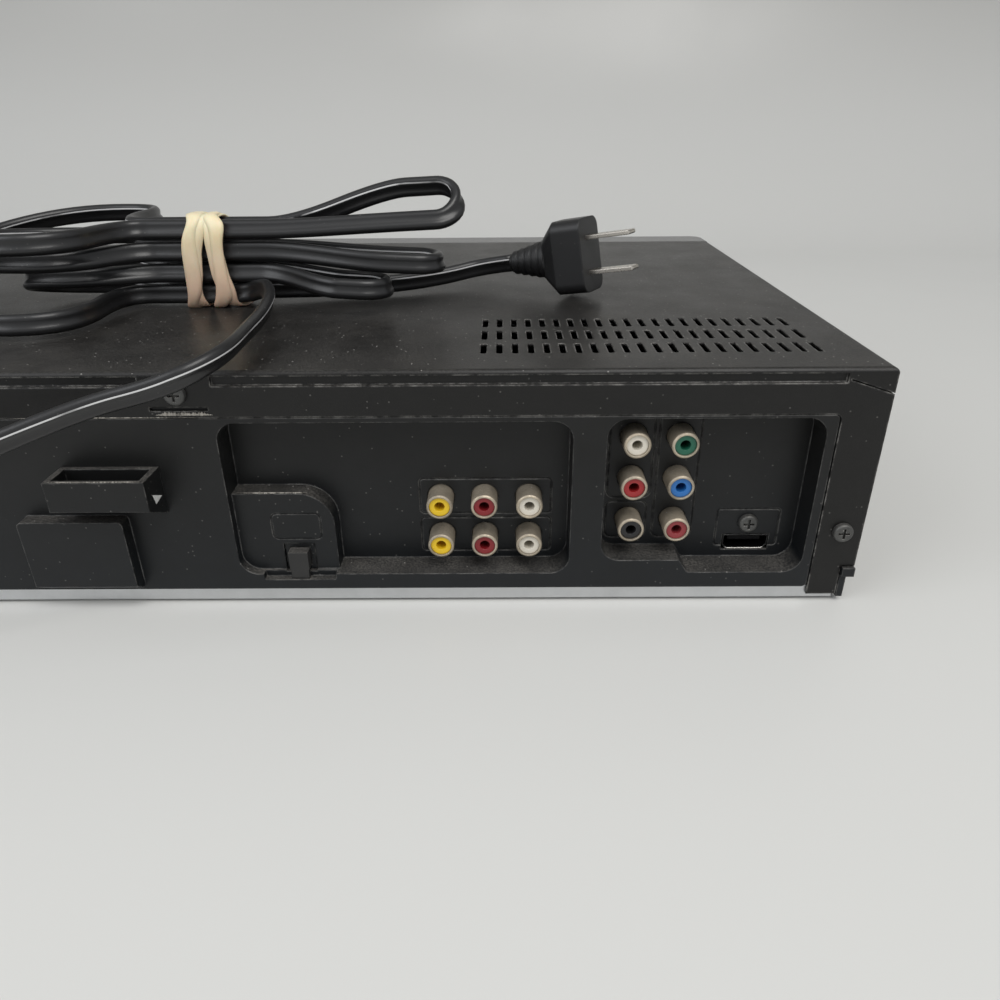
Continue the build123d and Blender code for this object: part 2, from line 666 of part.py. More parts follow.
def rca_inserts():
    """The coloured cores inside the metal rings, each with the hole for a plug's pin."""
    line, group = rca_places()
    cores = []
    for x, z in line + group:
        rear_end = FLOOR_FACE + RCA_REACH - RCA_INSERT_SETBACK
        core = rod_y(x, z, JACK_REAR - 2.0, rear_end, RCA_BORE - SCREW_FIT / 2)
        cores.append(core - rod_y(x, z, FLOOR_FACE, rear_end + 1.0, RCA_PIN_BORE))
    return cores


def jack_block(places, low):
    xs = [x for x, z in places]
    zs = [z for x, z in places]
    body = block(min(xs) - JACK_MARGIN, max(xs) + JACK_MARGIN, JACK_REAR - JACK_DEPTH, JACK_REAR,
                 low, max(zs) + JACK_MARGIN)
    for x, z in places:
        body -= rod_y(x, z, JACK_REAR - 2.0, JACK_REAR + 1.0, RCA_RADIUS)
    return body


def jack_housings():
    line, group = rca_places()
    return [jack_block(line, BOARD_TOP), jack_block(group, digital_top())]


def digital_top():
    return up(HDMI_Z) - HDMI_TALL / 2


def hdmi_socket():
    """A metal sleeve with its lower corners cut and a tongue in the middle."""
    x, z = at(HDMI_U), up(HDMI_Z)
    half, tall = HDMI_WIDTH / 2, HDMI_TALL / 2
    rear_end = FLOOR_FACE
    front_end = rear_end - HDMI_LENGTH
    outer = block(x - half, x + half, front_end, rear_end, z - tall, z + tall)
    lower = outer.edges().filter_by(Axis.Y).group_by(Axis.Z)[0]
    outer = chamfer(lower, 1.6)
    inner = block(x - half + HDMI_SHELL, x + half - HDMI_SHELL, front_end + 2.0, rear_end + 1.0,
                  z - tall + HDMI_SHELL, z + tall - HDMI_SHELL)
    inner = chamfer(inner.edges().filter_by(Axis.Y).group_by(Axis.Z)[0], 1.4)
    tongue = block(x - half + 2.0, x + half - 2.0, front_end + 1.0, rear_end - 1.5, z, z + 1.2)
    return outer - inner + tongue


def optical_socket():
    x, z = at(OPTICAL_U), up(OPTICAL_Z)
    half, port = OPTICAL_SIZE / 2, OPTICAL_PORT / 2
    rear_end = REAR - PLATEAU_DEPTH - 0.6
    body = block(x - half, x + half, rear_end - OPTICAL_LENGTH, rear_end, z - half, z + half)
    leg = block(x - half, x + half, rear_end - OPTICAL_LENGTH - 4.0, rear_end - OPTICAL_LENGTH,
                BOARD_TOP, z + half)
    body -= block(x - port, x + port, rear_end - CAP_INSERT - 2.0, rear_end + 1.0, z - port, z + port)
    return body + leg


def optical_cap():
    """The dust plug: a square peg in the port and a tongue to pull it out by."""
    x, z = at(OPTICAL_U), up(OPTICAL_Z)
    port = OPTICAL_PORT / 2 - SEAT_GAP
    rear_end = REAR - PLATEAU_DEPTH - 0.6
    peg = block(x - port, x + port, rear_end - CAP_INSERT, rear_end + CAP_GRIP, z - port, z + port)
    tongue = block(x - port + 0.3, x + port - 0.3, rear_end + 1.7, rear_end + CAP_GRIP,
                   z + port - CAP_TONGUE_TALL, z + port)
    return peg + tongue


def rf_x():
    return at((RF_U[0] + RF_U[1]) / 2)


def rf_port_heights():
    return (BOARD_TOP + 0.28 * RF_TALL, BOARD_TOP + 0.78 * RF_TALL)


def rf_module():
    """A shielded tin box with two threaded aerial sockets."""
    rear_end = PLATE_BACK - SEAT_GAP
    x0, x1 = span(RF_U)
    box = block(x0, x1, rear_end - RF_DEPTH, rear_end, BOARD_TOP, BOARD_TOP + RF_TALL)
    for z in rf_port_heights():
        port = rod_y(rf_x(), z, rear_end, REAR + RF_PORT_REACH, RF_PORT_RADIUS)
        port -= rod_y(rf_x(), z, REAR + 2.0, REAR + RF_PORT_REACH + 1.0, RF_PORT_RADIUS - 1.4)
        box += port + rod_y(rf_x(), z, REAR + 1.0, REAR + RF_PORT_REACH - 2.0, 0.6)
    return box


# ---------------------------------------------------------------- boards and power
def board_places():
    """The x and y limits of the two flat boards behind the drives."""
    rear_end = FRAME_REAR - FRAME_WALL - SEAT_GAP
    main = (at(HD_RECESS_U[1]) + 6.0, at(RF_U[1]) + 6.0, 66.0, rear_end)
    digital = (-FRAME_HALF + FRAME_WALL + 1.0, at(HD_RECESS_U[1]) + 2.0, 60.0, rear_end)
    return main, digital


def pcb(x0, x1, y0, y1, top):
    return block(x0, x1, y0, y1, top - BOARD_THICK, top)


def main_board():
    x0, x1, y0, y1 = board_places()[0]
    board = pcb(x0, x1, y0, y1, BOARD_TOP)
    for i in range(4):
        chip_x = x0 + 24.0 + 52.0 * i
        board += block(chip_x, chip_x + 12.0, y0 + 4.0, y0 + 16.0, BOARD_TOP, BOARD_TOP + 2.0)
    return board


def digital_board():
    x0, x1, y0, y1 = board_places()[1]
    board = pcb(x0, x1, y0, y1, digital_top())
    chip = block(x0 + 20.0, x0 + 44.0, y0 + 6.0, y0 + 24.0, digital_top(), digital_top() + 2.4)
    return board + chip


def power_board():
    x0, x1 = POWER_BOARD_X
    y0, y1 = POWER_BOARD_Y
    board = pcb(x0, x1, y0, y1, BOARD_TOP)
    fin_y = y0 + 62.0
    board += block(x0 + 4.0, x0 + 6.5, fin_y, fin_y + 44.0, BOARD_TOP, BOARD_TOP + FIN_TALL)
    for i in range(5):
        y = fin_y + 4.0 + 9.0 * i
        board += block(x0 + 6.5, x0 + 12.0, y, y + 1.2, BOARD_TOP + 6.0, BOARD_TOP + FIN_TALL)
    return board


def power_parts():
    """The transformer and the smoothing capacitors of the power supply."""
    x0, x1 = POWER_BOARD_X
    y0 = POWER_BOARD_Y[0]
    middle = (x0 + x1) / 2
    core = block(middle - TRANSFORMER_SIZE / 2, middle + TRANSFORMER_SIZE / 2, y0 + 28.0,
                 y0 + 28.0 + TRANSFORMER_SIZE * 0.8, BOARD_TOP, BOARD_TOP + TRANSFORMER_TALL)
    parts = [core]
    places = ((middle + 4.0, y0 + 14.0), (x1 - 9.0, y0 + 72.0), (x1 - 9.0, y0 + 90.0),
              (x1 - 9.0, y0 + 106.0))
    for (x, y), radius, tall in zip(places, CAPACITOR_RADII, CAPACITOR_TALLS):
        can = rod_z(x, y, BOARD_TOP, BOARD_TOP + tall, radius)
        parts.append(fillet(can.edges().group_by(Axis.Z)[-1], 0.8))
    return parts


def boss(x, y, top):
    return rod_z(x, y, PAN_TOP, top, BOSS_RADIUS)


def board_bosses():
    bosses = []
    main, digital = board_places()
    power = (*POWER_BOARD_X, *POWER_BOARD_Y)
    tops = (BOARD_LOW, digital_top() - BOARD_THICK, BOARD_LOW)
    for (x0, x1, y0, y1), top in zip((main, digital, power), tops):
        for x in (x0 + 5.0, x1 - 5.0):
            bosses += [boss(x, y, top) for y in (y0 + 5.0, y1 - 5.0)]
    return bosses


def chassis_frame():
    """The moulded frame that stands in the pan and carries the boards, the drive and the deck."""
    outer = block(-FRAME_HALF, FRAME_HALF, FRAME_FRONT, FRAME_REAR, PAN_TOP, PAN_TOP + FRAME_WALL_TALL)
    inner = block(-FRAME_HALF + FRAME_WALL, FRAME_HALF - FRAME_WALL, FRAME_FRONT + FRAME_WALL,
                  FRAME_REAR - FRAME_WALL, FRAME_TOP, TOP)
    frame = outer - inner
    frame -= block(-FRAME_HALF + 20.0, FRAME_HALF - 20.0, FRAME_REAR - 3.0, REAR, FRAME_TOP, TOP)
    frame -= block(-FRAME_HALF + 8.0, FRAME_HALF - 8.0, FRONT, FRAME_FRONT + 3.0, FRAME_TOP, TOP)
    for x0, x1, y0, y1 in floor_windows():
        frame -= block(x0, x1, y0, y1, BASE, FRAME_TOP + 1.0)
    frame += board_bosses()
    for x, y in loader_feet():
        frame += rod_z(x, y, PAN_TOP, up(LOADER_BASE_Z), 4.0)
    for x, y in deck_feet():
        frame += rod_z(x, y, PAN_TOP, up(DECK_TOP_Z) - DECK_SHEET, 4.0)
    return frame


def floor_windows():
    """Openings in the frame's floor under the drive, the deck and the capstan's flywheel."""
    drive = (DISC_X - 50.0, DISC_X + 50.0, FRAME_FRONT + 30.0, 44.0)
    deck = (DECK_X - 80.0, DECK_X + 84.0, FRAME_FRONT + 20.0, 62.0)
    return drive, deck


def loader_y():
    y0 = COVER_FRONT + 2.5
    return y0, y0 + LOADER_DEPTH


def loader_feet():
    y0, y1 = loader_y()
    inset = LOADER_HALF - 8.0
    return [(DISC_X + dx, y) for dx in (-inset, inset) for y in (y0 + 16.0, y1 - 16.0)]


def deck_feet():
    inset = DECK_HALF - 8.0
    return [(DECK_X + dx, y) for dx in (-inset, inset) for y in (12.0 - DECK_FRONT, DECK_BACK - 38.0)]


# ---------------------------------------------------------------- front
def tray_door_z():
    middle = up(TRAY_UNDER_Z) + (TRAY_FLOOR + TRAY_RIM) / 2
    return middle - TRAY_SLOT_TALL / 2, middle + TRAY_SLOT_TALL / 2


def strip_z():
    return up(STRIP_LOW_Z), up(STRIP_LOW_Z + STRIP_TALL)


def button_z():
    z0, z1 = strip_z()
    return (z0 + z1) / 2


def bezel_shell():
    outer = block(-EDGE, EDGE, FRONT, COVER_FRONT - SEAT_GAP, BASE, TOP)
    corners = outer.edges().filter_by(Axis.Z).group_by(Axis.Y)[0]
    outer = fillet(corners, BEZEL_CORNER)
    outer = fillet(outer.faces().sort_by(Axis.Y)[0].edges(), 1.2)
    inner = block(-EDGE + BEZEL_WALL, EDGE - BEZEL_WALL, FRONT + STRIP_SINK + BEZEL_WALL,
                  COVER_FRONT, BASE + BEZEL_WALL, TOP - BEZEL_WALL)
    inner = fillet(inner.edges().filter_by(Axis.Z).group_by(Axis.Y)[0], BEZEL_CORNER - BEZEL_WALL)
    return outer - inner


def bezel_tongue():
    """The rim at the bezel's rear that reaches into the cover and stands on the pan."""
    half = PAN_HALF - SHEET - SEAT_GAP
    y0, y1 = COVER_FRONT - 4.0, COVER_FRONT + 6.0
    rim = block(-half, half, y0, y1, PAN_TOP, TOP - SHEET - SEAT_GAP)
    rim -= block(-half + 1.6, half - 1.6, y0 - 1.0, y1 + 1.0, PAN_TOP + 1.6, TOP - SHEET - 1.8)
    pan_nose = block(-EDGE, EDGE, FRONT + 2.0, COVER_FRONT, 0, PAN_TOP)
    return rim - pan_nose


def front_bezel():
    bezel = bezel_shell()
    bezel -= block(-PAN_HALF - SEAT_GAP, PAN_HALF + SEAT_GAP, COVER_FRONT - 8.0 - SEAT_GAP, REAR,
                   0, PAN_TOP)
    bezel += bezel_tongue()
    z0, z1 = tray_door_z()
    half = TRAY_HALF + 2.0
    bezel -= block(DISC_X - half, DISC_X + half, FRONT - 1.0, COVER_FRONT, z0, z1)
    flap = flap_box()
    bezel -= block(flap[0] - FLAP_GAP, flap[1] + FLAP_GAP, FRONT - 1.0, COVER_FRONT,
                   flap[2] - FLAP_GAP, flap[3] + FLAP_GAP)
    s0, s1 = strip_z()
    bezel -= round_bar_y(-EDGE + 12.0, EDGE - 12.0, s0, s1, 3.0, FRONT - 1.0, FRONT + STRIP_SINK)
    window = DISPLAY_WIDTH / 2
    bezel -= block(DISPLAY_X - window, DISPLAY_X + window, FRONT - 1.0, FRONT + BEZEL_DEPTH,
                   s0 + 2.0, s1 - 2.0)
    for x in BUTTON_X:
        bezel -= button_shape(x, BUTTON_GAP, FRONT - 1.0, FRONT + BEZEL_DEPTH)
    for x in FRONT_JACK_X:
        bezel -= rod_y(x, button_z(), FRONT - 1.0, FRONT + BEZEL_DEPTH, RCA_RADIUS + SEAT_GAP)
    bezel += flap_ears()
    y, z = flap_axis()
    reach = FLAP_WIDTH / 2 + FLAP_GAP + 4.0
    return bezel - rod_x(y, z, DECK_X - reach, DECK_X + reach, FLAP_PIN_RADIUS + SHAFT_FIT)


def flap_box():
    """The flap's left, right, bottom and top."""
    low = up(FLAP_LOW_Z)
    return DECK_X - FLAP_WIDTH / 2, DECK_X + FLAP_WIDTH / 2, low, low + FLAP_TALL


def flap_axis():
    """The y and z of the flap's hinge, behind its upper edge."""
    return FRONT + 1.0 + FLAP_THICK / 2 + 1.8, flap_box()[3] - 2.2


def flap_ears():
    """Two lugs behind the bezel's face that the flap's pins turn in."""
    y, z = flap_axis()
    x0, x1 = flap_box()[0] - FLAP_GAP, flap_box()[1] + FLAP_GAP
    ears = []
    for inner, side in ((x0, -1), (x1, 1)):
        xs = sorted((inner, inner + side * 3.0))
        ears.append(block(*xs, y - 3.0, y + 3.0, z - 3.0, z + 3.0))
    return ears


def cassette_flap():
    x0, x1, z0, z1 = flap_box()
    y, z = flap_axis()
    plate = block(x0, x1, FRONT + 1.0, FRONT + 1.0 + FLAP_THICK, z0, z1)
    knuckle = rod_x(y, z, x0, x1, 1.9)
    pin = rod_x(y, z, x0 - FLAP_GAP - 2.6, x1 + FLAP_GAP + 2.6, FLAP_PIN_RADIUS)
    return plate + knuckle + pin


def display_window():
    s0, s1 = strip_z()
    half = DISPLAY_WIDTH / 2 - 0.1
    pane = block(DISPLAY_X - half, DISPLAY_X + half, FRONT + STRIP_SINK, FRONT + STRIP_SINK + 2.0,
                 s0 + 2.1, s1 - 2.1)
    back = block(DISPLAY_X - half, DISPLAY_X + half, FRONT + STRIP_SINK + 2.0,
                 key_board_y() - BOARD_THICK, s0 + 2.1, s1 - 2.1)
    return pane + back


def key_board_y():
    """The rear face of the board behind the buttons."""
    return FRONT + STRIP_SINK + BEZEL_WALL + 7.0 + BOARD_THICK


def key_board():
    s0, s1 = strip_z()
    rear_end = key_board_y()
    half = EDGE - KEY_BOARD_INSET
    board = block(-half, half, rear_end - BOARD_THICK, rear_end, s0 - 1.0, s1 + 1.0)
    board += [block(x, x + 4.0, rear_end - 0.1, COVER_FRONT + 2.0, PAN_TOP + FRAME_FLOOR, s0 + 3.0)
              for x in (KEY_LEG_PITCH * i - half for i in range(4))]
    for x in BUTTON_X:
        board += block(x - 3.0, x + 3.0, rear_end - BOARD_THICK - 3.0, rear_end - BOARD_THICK,
                       button_z() - 3.0, button_z() + 3.0)
    for x in FRONT_JACK_X:
        tube = rod_y(x, button_z(), FRONT + STRIP_SINK - 1.2, rear_end - BOARD_THICK, RCA_RADIUS)
        front_end = FRONT + STRIP_SINK - 1.2
        tube -= rod_y(x, button_z(), front_end - 1.0, front_end + RCA_INSERT_SETBACK, RCA_BORE)
        board += tube - rod_y(x, button_z(), front_end, front_end + RCA_REACH, RCA_PIN_BORE)
    return board


def button_shape(x, grow, y0, y1):
    if x == BUTTON_X[0]:
        return rod_y(x, button_z(), y0, y1, BUTTON_TALL * 0.8 + grow)
    half, tall = BUTTON_WIDTH / 2 + grow, BUTTON_TALL / 2 + grow
    return round_bar_y(x - half, x + half, button_z() - tall, button_z() + tall, 1.5 + grow, y0, y1)


def button(x):
    """A cap that stands out of the strip, a rim behind the wall and a stem to its switch."""
    face = FRONT + STRIP_SINK
    wall_back = face + BEZEL_WALL
    cap = button_shape(x, 0.0, face - BUTTON_REACH, wall_back + SEAT_GAP + 1.0)
    cap = fillet(cap.faces().sort_by(Axis.Y)[0].edges(), 0.4)
    rim = button_shape(x, BUTTON_RIM, wall_back + SEAT_GAP, wall_back + SEAT_GAP + 1.0)
    switch = key_board_y() - BOARD_THICK - 3.0
    stem = rod_y(x, button_z(), wall_back + SEAT_GAP, switch - BUTTON_TRAVEL - 0.1, BUTTON_STEM_RADIUS)
    return cap + rim + stem


# ---------------------------------------------------------------- disc drive
def disc_y():
    return FRONT + 3.0 + DISC_INSET


def tray_under():
    return up(TRAY_UNDER_Z)


def tray_top():
    return tray_under() + TRAY_FLOOR + TRAY_RIM


def gear_x():
    return DISC_X + RACK_X - GEAR_GAP - GEAR_RADIUS


def gear_y():
    return loader_y()[0] + GEAR_RADIUS + 3.0


def motor_x():
    return gear_x() - 48.0


def loader_frame():
    y0, y1 = loader_y()
    z0 = up(LOADER_BASE_Z)
    wall_top = tray_top() + 3.4
    wall = TRAY_HALF + TRAY_SIDE_GAP
    outer = block(DISC_X - LOADER_HALF, DISC_X + LOADER_HALF, y0, y1, z0, z0 + LOADER_FLOOR)
    frame = outer - block(DISC_X - TRAVERSE_HALF - 2.0, DISC_X + TRAVERSE_HALF + 2.0,
                          disc_y() - TRAVERSE_FRONT - 2.0, y1 - 12.0, z0 - 1.0, TOP)
    for side in (-1, 1):
        xs = sorted((DISC_X + side * wall, DISC_X + side * (wall + LOADER_WALL)))
        frame += block(*xs, y0, y1, z0, wall_top)
        ledge = sorted((DISC_X + side * (wall - 5.0), DISC_X + side * wall))
        frame += block(*ledge, y0, y1, tray_under() - TRAY_RUN_GAP - 2.0, tray_under() - TRAY_RUN_GAP)
        lip = sorted((DISC_X + side * (wall - 2.5), DISC_X + side * wall))
        frame += block(*lip, y0, y1, tray_top() + TRAY_RUN_GAP, tray_top() + TRAY_RUN_GAP + 1.4)
        foot = sorted((DISC_X + side * (wall + LOADER_WALL), DISC_X + side * LOADER_HALF))
        frame += block(*foot, y0, y1, z0, z0 + LOADER_FLOOR)
        pad = sorted((DISC_X + side * (TRAVERSE_HALF + 0.3), DISC_X + side * wall))
        for y in (disc_y(), disc_y() + 70.0):
            frame += block(*pad, y - 4.0, y + 4.0, z0, up(TRAVERSE_TOP_Z) - TRAVERSE_TALL)
    back = block(DISC_X - wall, DISC_X + wall, y1 - LOADER_WALL, y1, z0, tray_under() - 3.0)
    frame += back
    frame += rod_z(gear_x(), gear_y(), z0, tray_under() - 1.2, SHAFT_RADIUS)
    return frame


def disc_tray():
    """The drawer with its trim, the disc's well and the window for the hub and the pickup."""
    front = FRONT + 3.0
    z0, z1 = tray_under(), tray_top()
    tray = block(DISC_X - TRAY_HALF, DISC_X + TRAY_HALF, front, front + TRAY_LENGTH, z0, z1)
    centre = disc_y()
    tray -= rod_z(DISC_X, centre, z0 + TRAY_FLOOR, z1 + 1.0, DISC_RECESS_RADIUS)
    tray -= block(DISC_X - WINDOW_HALF, DISC_X + WINDOW_HALF, centre - WINDOW_LEAD,
                  front + TRAY_LENGTH + 1.0, z0 - 1.0, z1 + 1.0)
    d0, d1 = tray_door_z()
    half = TRAY_HALF + 2.0 - TRAY_DOOR_GAP
    door = block(DISC_X - half, DISC_X + half, FRONT + 0.2, front + 0.5, d0 + TRAY_DOOR_GAP,
                 d1 - TRAY_DOOR_GAP)
    door = fillet(door.faces().sort_by(Axis.Y)[0].edges(), 0.8)
    rack_start = gear_y() - 4.0
    rack = block(DISC_X + RACK_X, DISC_X + RACK_X + RACK_WIDE, rack_start, front + TRAY_LENGTH - 1.0,
                 z0 - RACK_TALL, z0)
    pitch = 2 * math.pi * GEAR_RADIUS / GEAR_TEETH
    count = int((front + TRAY_LENGTH - 1.0 - rack_start) / pitch)
    notches = [block(DISC_X + RACK_X - 1.0, DISC_X + RACK_X + 1.0, rack_start + pitch * (i + 0.3),
                     rack_start + pitch * (i + 0.8), z0 - RACK_TALL - 1.0, z0) for i in range(count)]
    return tray + door + (rack - notches)


def tray_gear():
    """The pinion beside the drawer's rack, with its belt pulley below it."""
    x, y = gear_x(), gear_y()
    top = tray_under() - 1.6
    wheel = gear_z(x, y, top - 4.0, top, GEAR_RADIUS, GEAR_TEETH)
    pulley = rod_z(x, y, top - 4.0 - PULLEY_TALL, top - 4.0, GEAR_RADIUS - 1.0)
    return wheel + pulley - rod_z(x, y, 0, TOP, SHAFT_RADIUS + SHAFT_FIT)


def pulley_z():
    top = tray_under() - 1.6 - 4.0
    return top - PULLEY_TALL, top


def tray_motor():
    low, high = pulley_z()
    body = rod_z(motor_x(), gear_y(), up(LOADER_BASE_Z) + LOADER_FLOOR, low - 2.0, MOTOR_RADIUS)
    return body + rod_z(motor_x(), gear_y(), low - 2.0, high, PULLEY_RADIUS)


def tray_belt():
    """The rubber belt's loop round the motor's pulley and the pinion's."""
    low, high = pulley_z()
    middle = (low + high) / 2
    big = GEAR_RADIUS - 1.0 + SEAT_GAP
    small = PULLEY_RADIUS + SEAT_GAP
    reach = gear_x() - motor_x()
    lean = math.degrees(math.asin((big - small) / reach))

    def hull(grow):
        b, s = big + grow, small + grow
        c, k = math.sin(math.radians(lean)), math.cos(math.radians(lean))
        corners = [(-s * c, s * k), (reach - b * c, b * k), (reach - b * c, -b * k), (-s * c, -s * k)]
        return Circle(s) + Pos(reach, 0) * Circle(b) + make_face(Polyline(*corners, close=True))

    face = Pos(motor_x(), gear_y(), middle - BELT_TALL / 2) * (hull(BELT_THICK) - hull(0.0))
    return extrude(face, BELT_TALL)


def traverse_top():
    return up(TRAVERSE_TOP_Z)


def sled_y():
    y0 = disc_y() + SLED_START
    return y0, y0 + SLED_LENGTH


def rod_z_level():
    return traverse_top() - TRAVERSE_TALL / 2


def traverse_frame():
    """The sub-frame that lifts the hub and the pickup, with the motor and the guide rods."""
    y0 = disc_y() - TRAVERSE_FRONT
    y1 = y0 + TRAVERSE_LENGTH
    z1 = traverse_top()
    z0 = z1 - TRAVERSE_TALL
    half = TRAVERSE_HALF
    frame = block(DISC_X - half, DISC_X + half, y0, y1, z0, z1)
    frame -= block(DISC_X - half + TRAVERSE_WALL, DISC_X + half - TRAVERSE_WALL,
                   disc_y() + SLED_START - 1.2, y1 - TRAVERSE_WALL, z0 - 1.0, z1 + 1.0)
    for side in (-1, 1):
        frame += rod_y(DISC_X + side * ROD_X, rod_z_level(), disc_y() + SLED_START - 2.0,
                       y1 - TRAVERSE_WALL + 1.0, ROD_RADIUS)
    frame += rod_z(DISC_X, disc_y(), z0 - SPINDLE_MOTOR_TALL + 2.0, z0, SPINDLE_MOTOR_RADIUS)
    return frame + rod_z(DISC_X, disc_y(), z1, z1 + 1.2, SPINDLE_MOTOR_RADIUS) \
        + rod_z(DISC_X, disc_y(), z1, z1 + HUB_GAP + 1.4, SHAFT_RADIUS)


def hub_z():
    low = traverse_top() + HUB_GAP
    return low, low + HUB_TALL


def turntable():
    low, high = hub_z()
    hub = rod_z(DISC_X, disc_y(), low, high, HUB_RADIUS)
    cone = Pos(DISC_X, disc_y(), high + CONE_TALL / 2) * Cone(CONE_RADIUS, CONE_RADIUS - 1.2, CONE_TALL)
    return hub + cone - rod_z(DISC_X, disc_y(), low - 1.0, low + 1.6, SHAFT_RADIUS + SHAFT_FIT)


def pickup_sled():
    y0, y1 = sled_y()
    middle = rod_z_level()
    half = ROD_X + 4.0
    body = block(DISC_X - half, DISC_X + half, y0, y1, middle - SLED_TALL / 2, middle + SLED_TALL / 2)
    for side in (-1, 1):
        body -= rod_y(DISC_X + side * ROD_X, middle, y0 - 1.0, y1 + 1.0, ROD_RADIUS + SHAFT_FIT)
    top = middle + SLED_TALL / 2
    pod = block(DISC_X - 9.0, DISC_X + 9.0, y0 + 5.0, y0 + 19.0, top, top + 2.4)
    lens = rod_z(DISC_X, y0 + 12.0, top + 2.4, top + 3.2, LENS_RADIUS)
    return body + pod + lens


def puck_low():
    return tray_top() + PUCK_GAP


def bridge_low():
    return tray_top() + 3.4


def clamp_bridge():
    """The metal strap over the drawer that holds the clamping puck in a round hole."""
    half = TRAY_HALF + TRAY_SIDE_GAP + LOADER_WALL
    z0 = bridge_low()
    strap = block(DISC_X - half, DISC_X + half, disc_y() - BRIDGE_WIDE / 2,
                  disc_y() + BRIDGE_WIDE / 2, z0, z0 + BRIDGE_SHEET)
    return strap - rod_z(DISC_X, disc_y(), z0 - 1.0, z0 + 4.0, PUCK_RADIUS + 0.8)


def clamp_puck():
    z0 = puck_low()
    seat = bridge_low() + BRIDGE_SHEET + TRAY_RUN_GAP
    puck = rod_z(DISC_X, disc_y(), z0, seat + 0.5, PUCK_RADIUS)
    puck += rod_z(DISC_X, disc_y(), seat, seat + 1.4, PUCK_RADIUS + PUCK_FLANGE)
    return puck - rod_z(DISC_X, disc_y(), z0 - 1.0, z0 + CONE_TALL + 1.0, CONE_RADIUS + 0.6)


# ---------------------------------------------------------------- tape deck
def deck_top():
    return up(DECK_TOP_Z)


def holder_y():
    y0 = -DECK_FRONT + 8.0
    return y0, y0 + HOLDER_LENGTH


def guide_inner():
    return HOLDER_HALF + HOLDER_GAP + GUIDE_SHEET + HOLDER_GAP


def slide_pins():
    middle = sum(holder_y()) / 2
    return (middle - SLIDE_PIN_STEP / 2, middle + SLIDE_PIN_STEP / 2)


def drop_pin_y():
    return sum(holder_y()) / 2


def deck_plate():
    """The deck's base plate and the two upright guides that the carriage runs along."""
    z1 = deck_top()
    plate = block(DECK_X - DECK_HALF, DECK_X + DECK_HALF, -DECK_FRONT, DECK_BACK, z1 - DECK_SHEET, z1)
    inner = guide_inner()
    for side in (-1, 1):
        xs = sorted((DECK_X + side * inner, DECK_X + side * (inner + GUIDE_SHEET)))
        guide = block(*xs, -DECK_FRONT, -DECK_FRONT + GUIDE_LENGTH, z1 - DECK_SHEET, z1 + GUIDE_TALL)
        pins = slide_pins()
        slot_z = up(SLIDE_SLOT_Z)
        reach = SLIDE_PIN_RADIUS + SLIDE_PIN_FIT
        guide -= block(*xs, pins[0] - reach - 0.3, pins[1] + CARRIAGE_TRAVEL + reach + 0.3,
                       slot_z - reach, slot_z + reach)
        plate += guide
    plate -= rod_z(DECK_X + CAPSTAN_X, CAPSTAN_Y, 0, TOP, CAPSTAN_RADIUS + SHAFT_FIT)
    for side in (-1, 1):
        plate += rod_z(DECK_X + side * REEL_X, REEL_Y, z1, up(REEL_TOP_Z) - 4.0, SHAFT_RADIUS)
        plate -= post_slot(side)
    plate += rod_z(DECK_X + PINCH_PIVOT_X, PINCH_PIVOT_Y, z1, pinch_arm_z() + 4.0, SHAFT_RADIUS)
    return plate + rod_z(DECK_X + CAM_X, CAM_Y, z1, z1 + CAM_TALL + 2.0, SHAFT_RADIUS)


def post_slot(side):
    """The slot that a guide post's foot runs along."""
    x0, y0 = DECK_X + side * POST_START_X, POST_START_Y
    x1, y1 = x0 + side * POST_TRAVEL_X, y0 + POST_TRAVEL_Y
    length = math.hypot(x1 - x0, y1 - y0)
    angle = math.degrees(math.atan2(y1 - y0, x1 - x0))
    face = SlotCenterToCenter(length, 2 * (SHAFT_RADIUS + 0.3))
    place = Pos((x0 + x1) / 2, (y0 + y1) / 2, deck_top() - 2 * DECK_SHEET) * Rot(0, 0, angle)
    return extrude(place * face, 3 * DECK_SHEET)


def carriage_slider():
    """Two side plates joined over the top, with pins that run in the guides' slots."""
    y0, y1 = holder_y()
    inner = HOLDER_HALF + HOLDER_GAP
    bar_z = holder_top() + HOLDER_GAP
    slider = block(DECK_X - inner - GUIDE_SHEET, DECK_X + inner + GUIDE_SHEET,
                   drop_pin_y() - CROSSBAR_WIDE / 2, drop_pin_y() + CROSSBAR_WIDE / 2,
                   bar_z, bar_z + CROSSBAR_TALL)
    reach = SLIDE_PIN_RADIUS + SLIDE_PIN_FIT
    for side in (-1, 1):
        xs = sorted((DECK_X + side * inner, DECK_X + side * (inner + GUIDE_SHEET)))
        side_plate = block(*xs, y0 + 6.0, y1 - 6.0, up(SLIDER_LOW_Z), bar_z + CROSSBAR_TALL)
        side_plate -= block(*xs, drop_pin_y() - reach, drop_pin_y() + reach,
                            up(DROP_PIN_Z) - DROP_TRAVEL - reach, up(DROP_PIN_Z) + reach)
        ends = sorted((DECK_X + side * inner, DECK_X + side * (guide_inner() + GUIDE_SHEET + 0.6)))
        side_plate += [rod_x(y, up(SLIDE_SLOT_Z), *ends, SLIDE_PIN_RADIUS) for y in slide_pins()]
        slider += side_plate
    return slider


def holder_top():
    return up(LEDGE_Z) + HOLDER_SHEET + HOLDER_INNER_TALL + HOLDER_SHEET


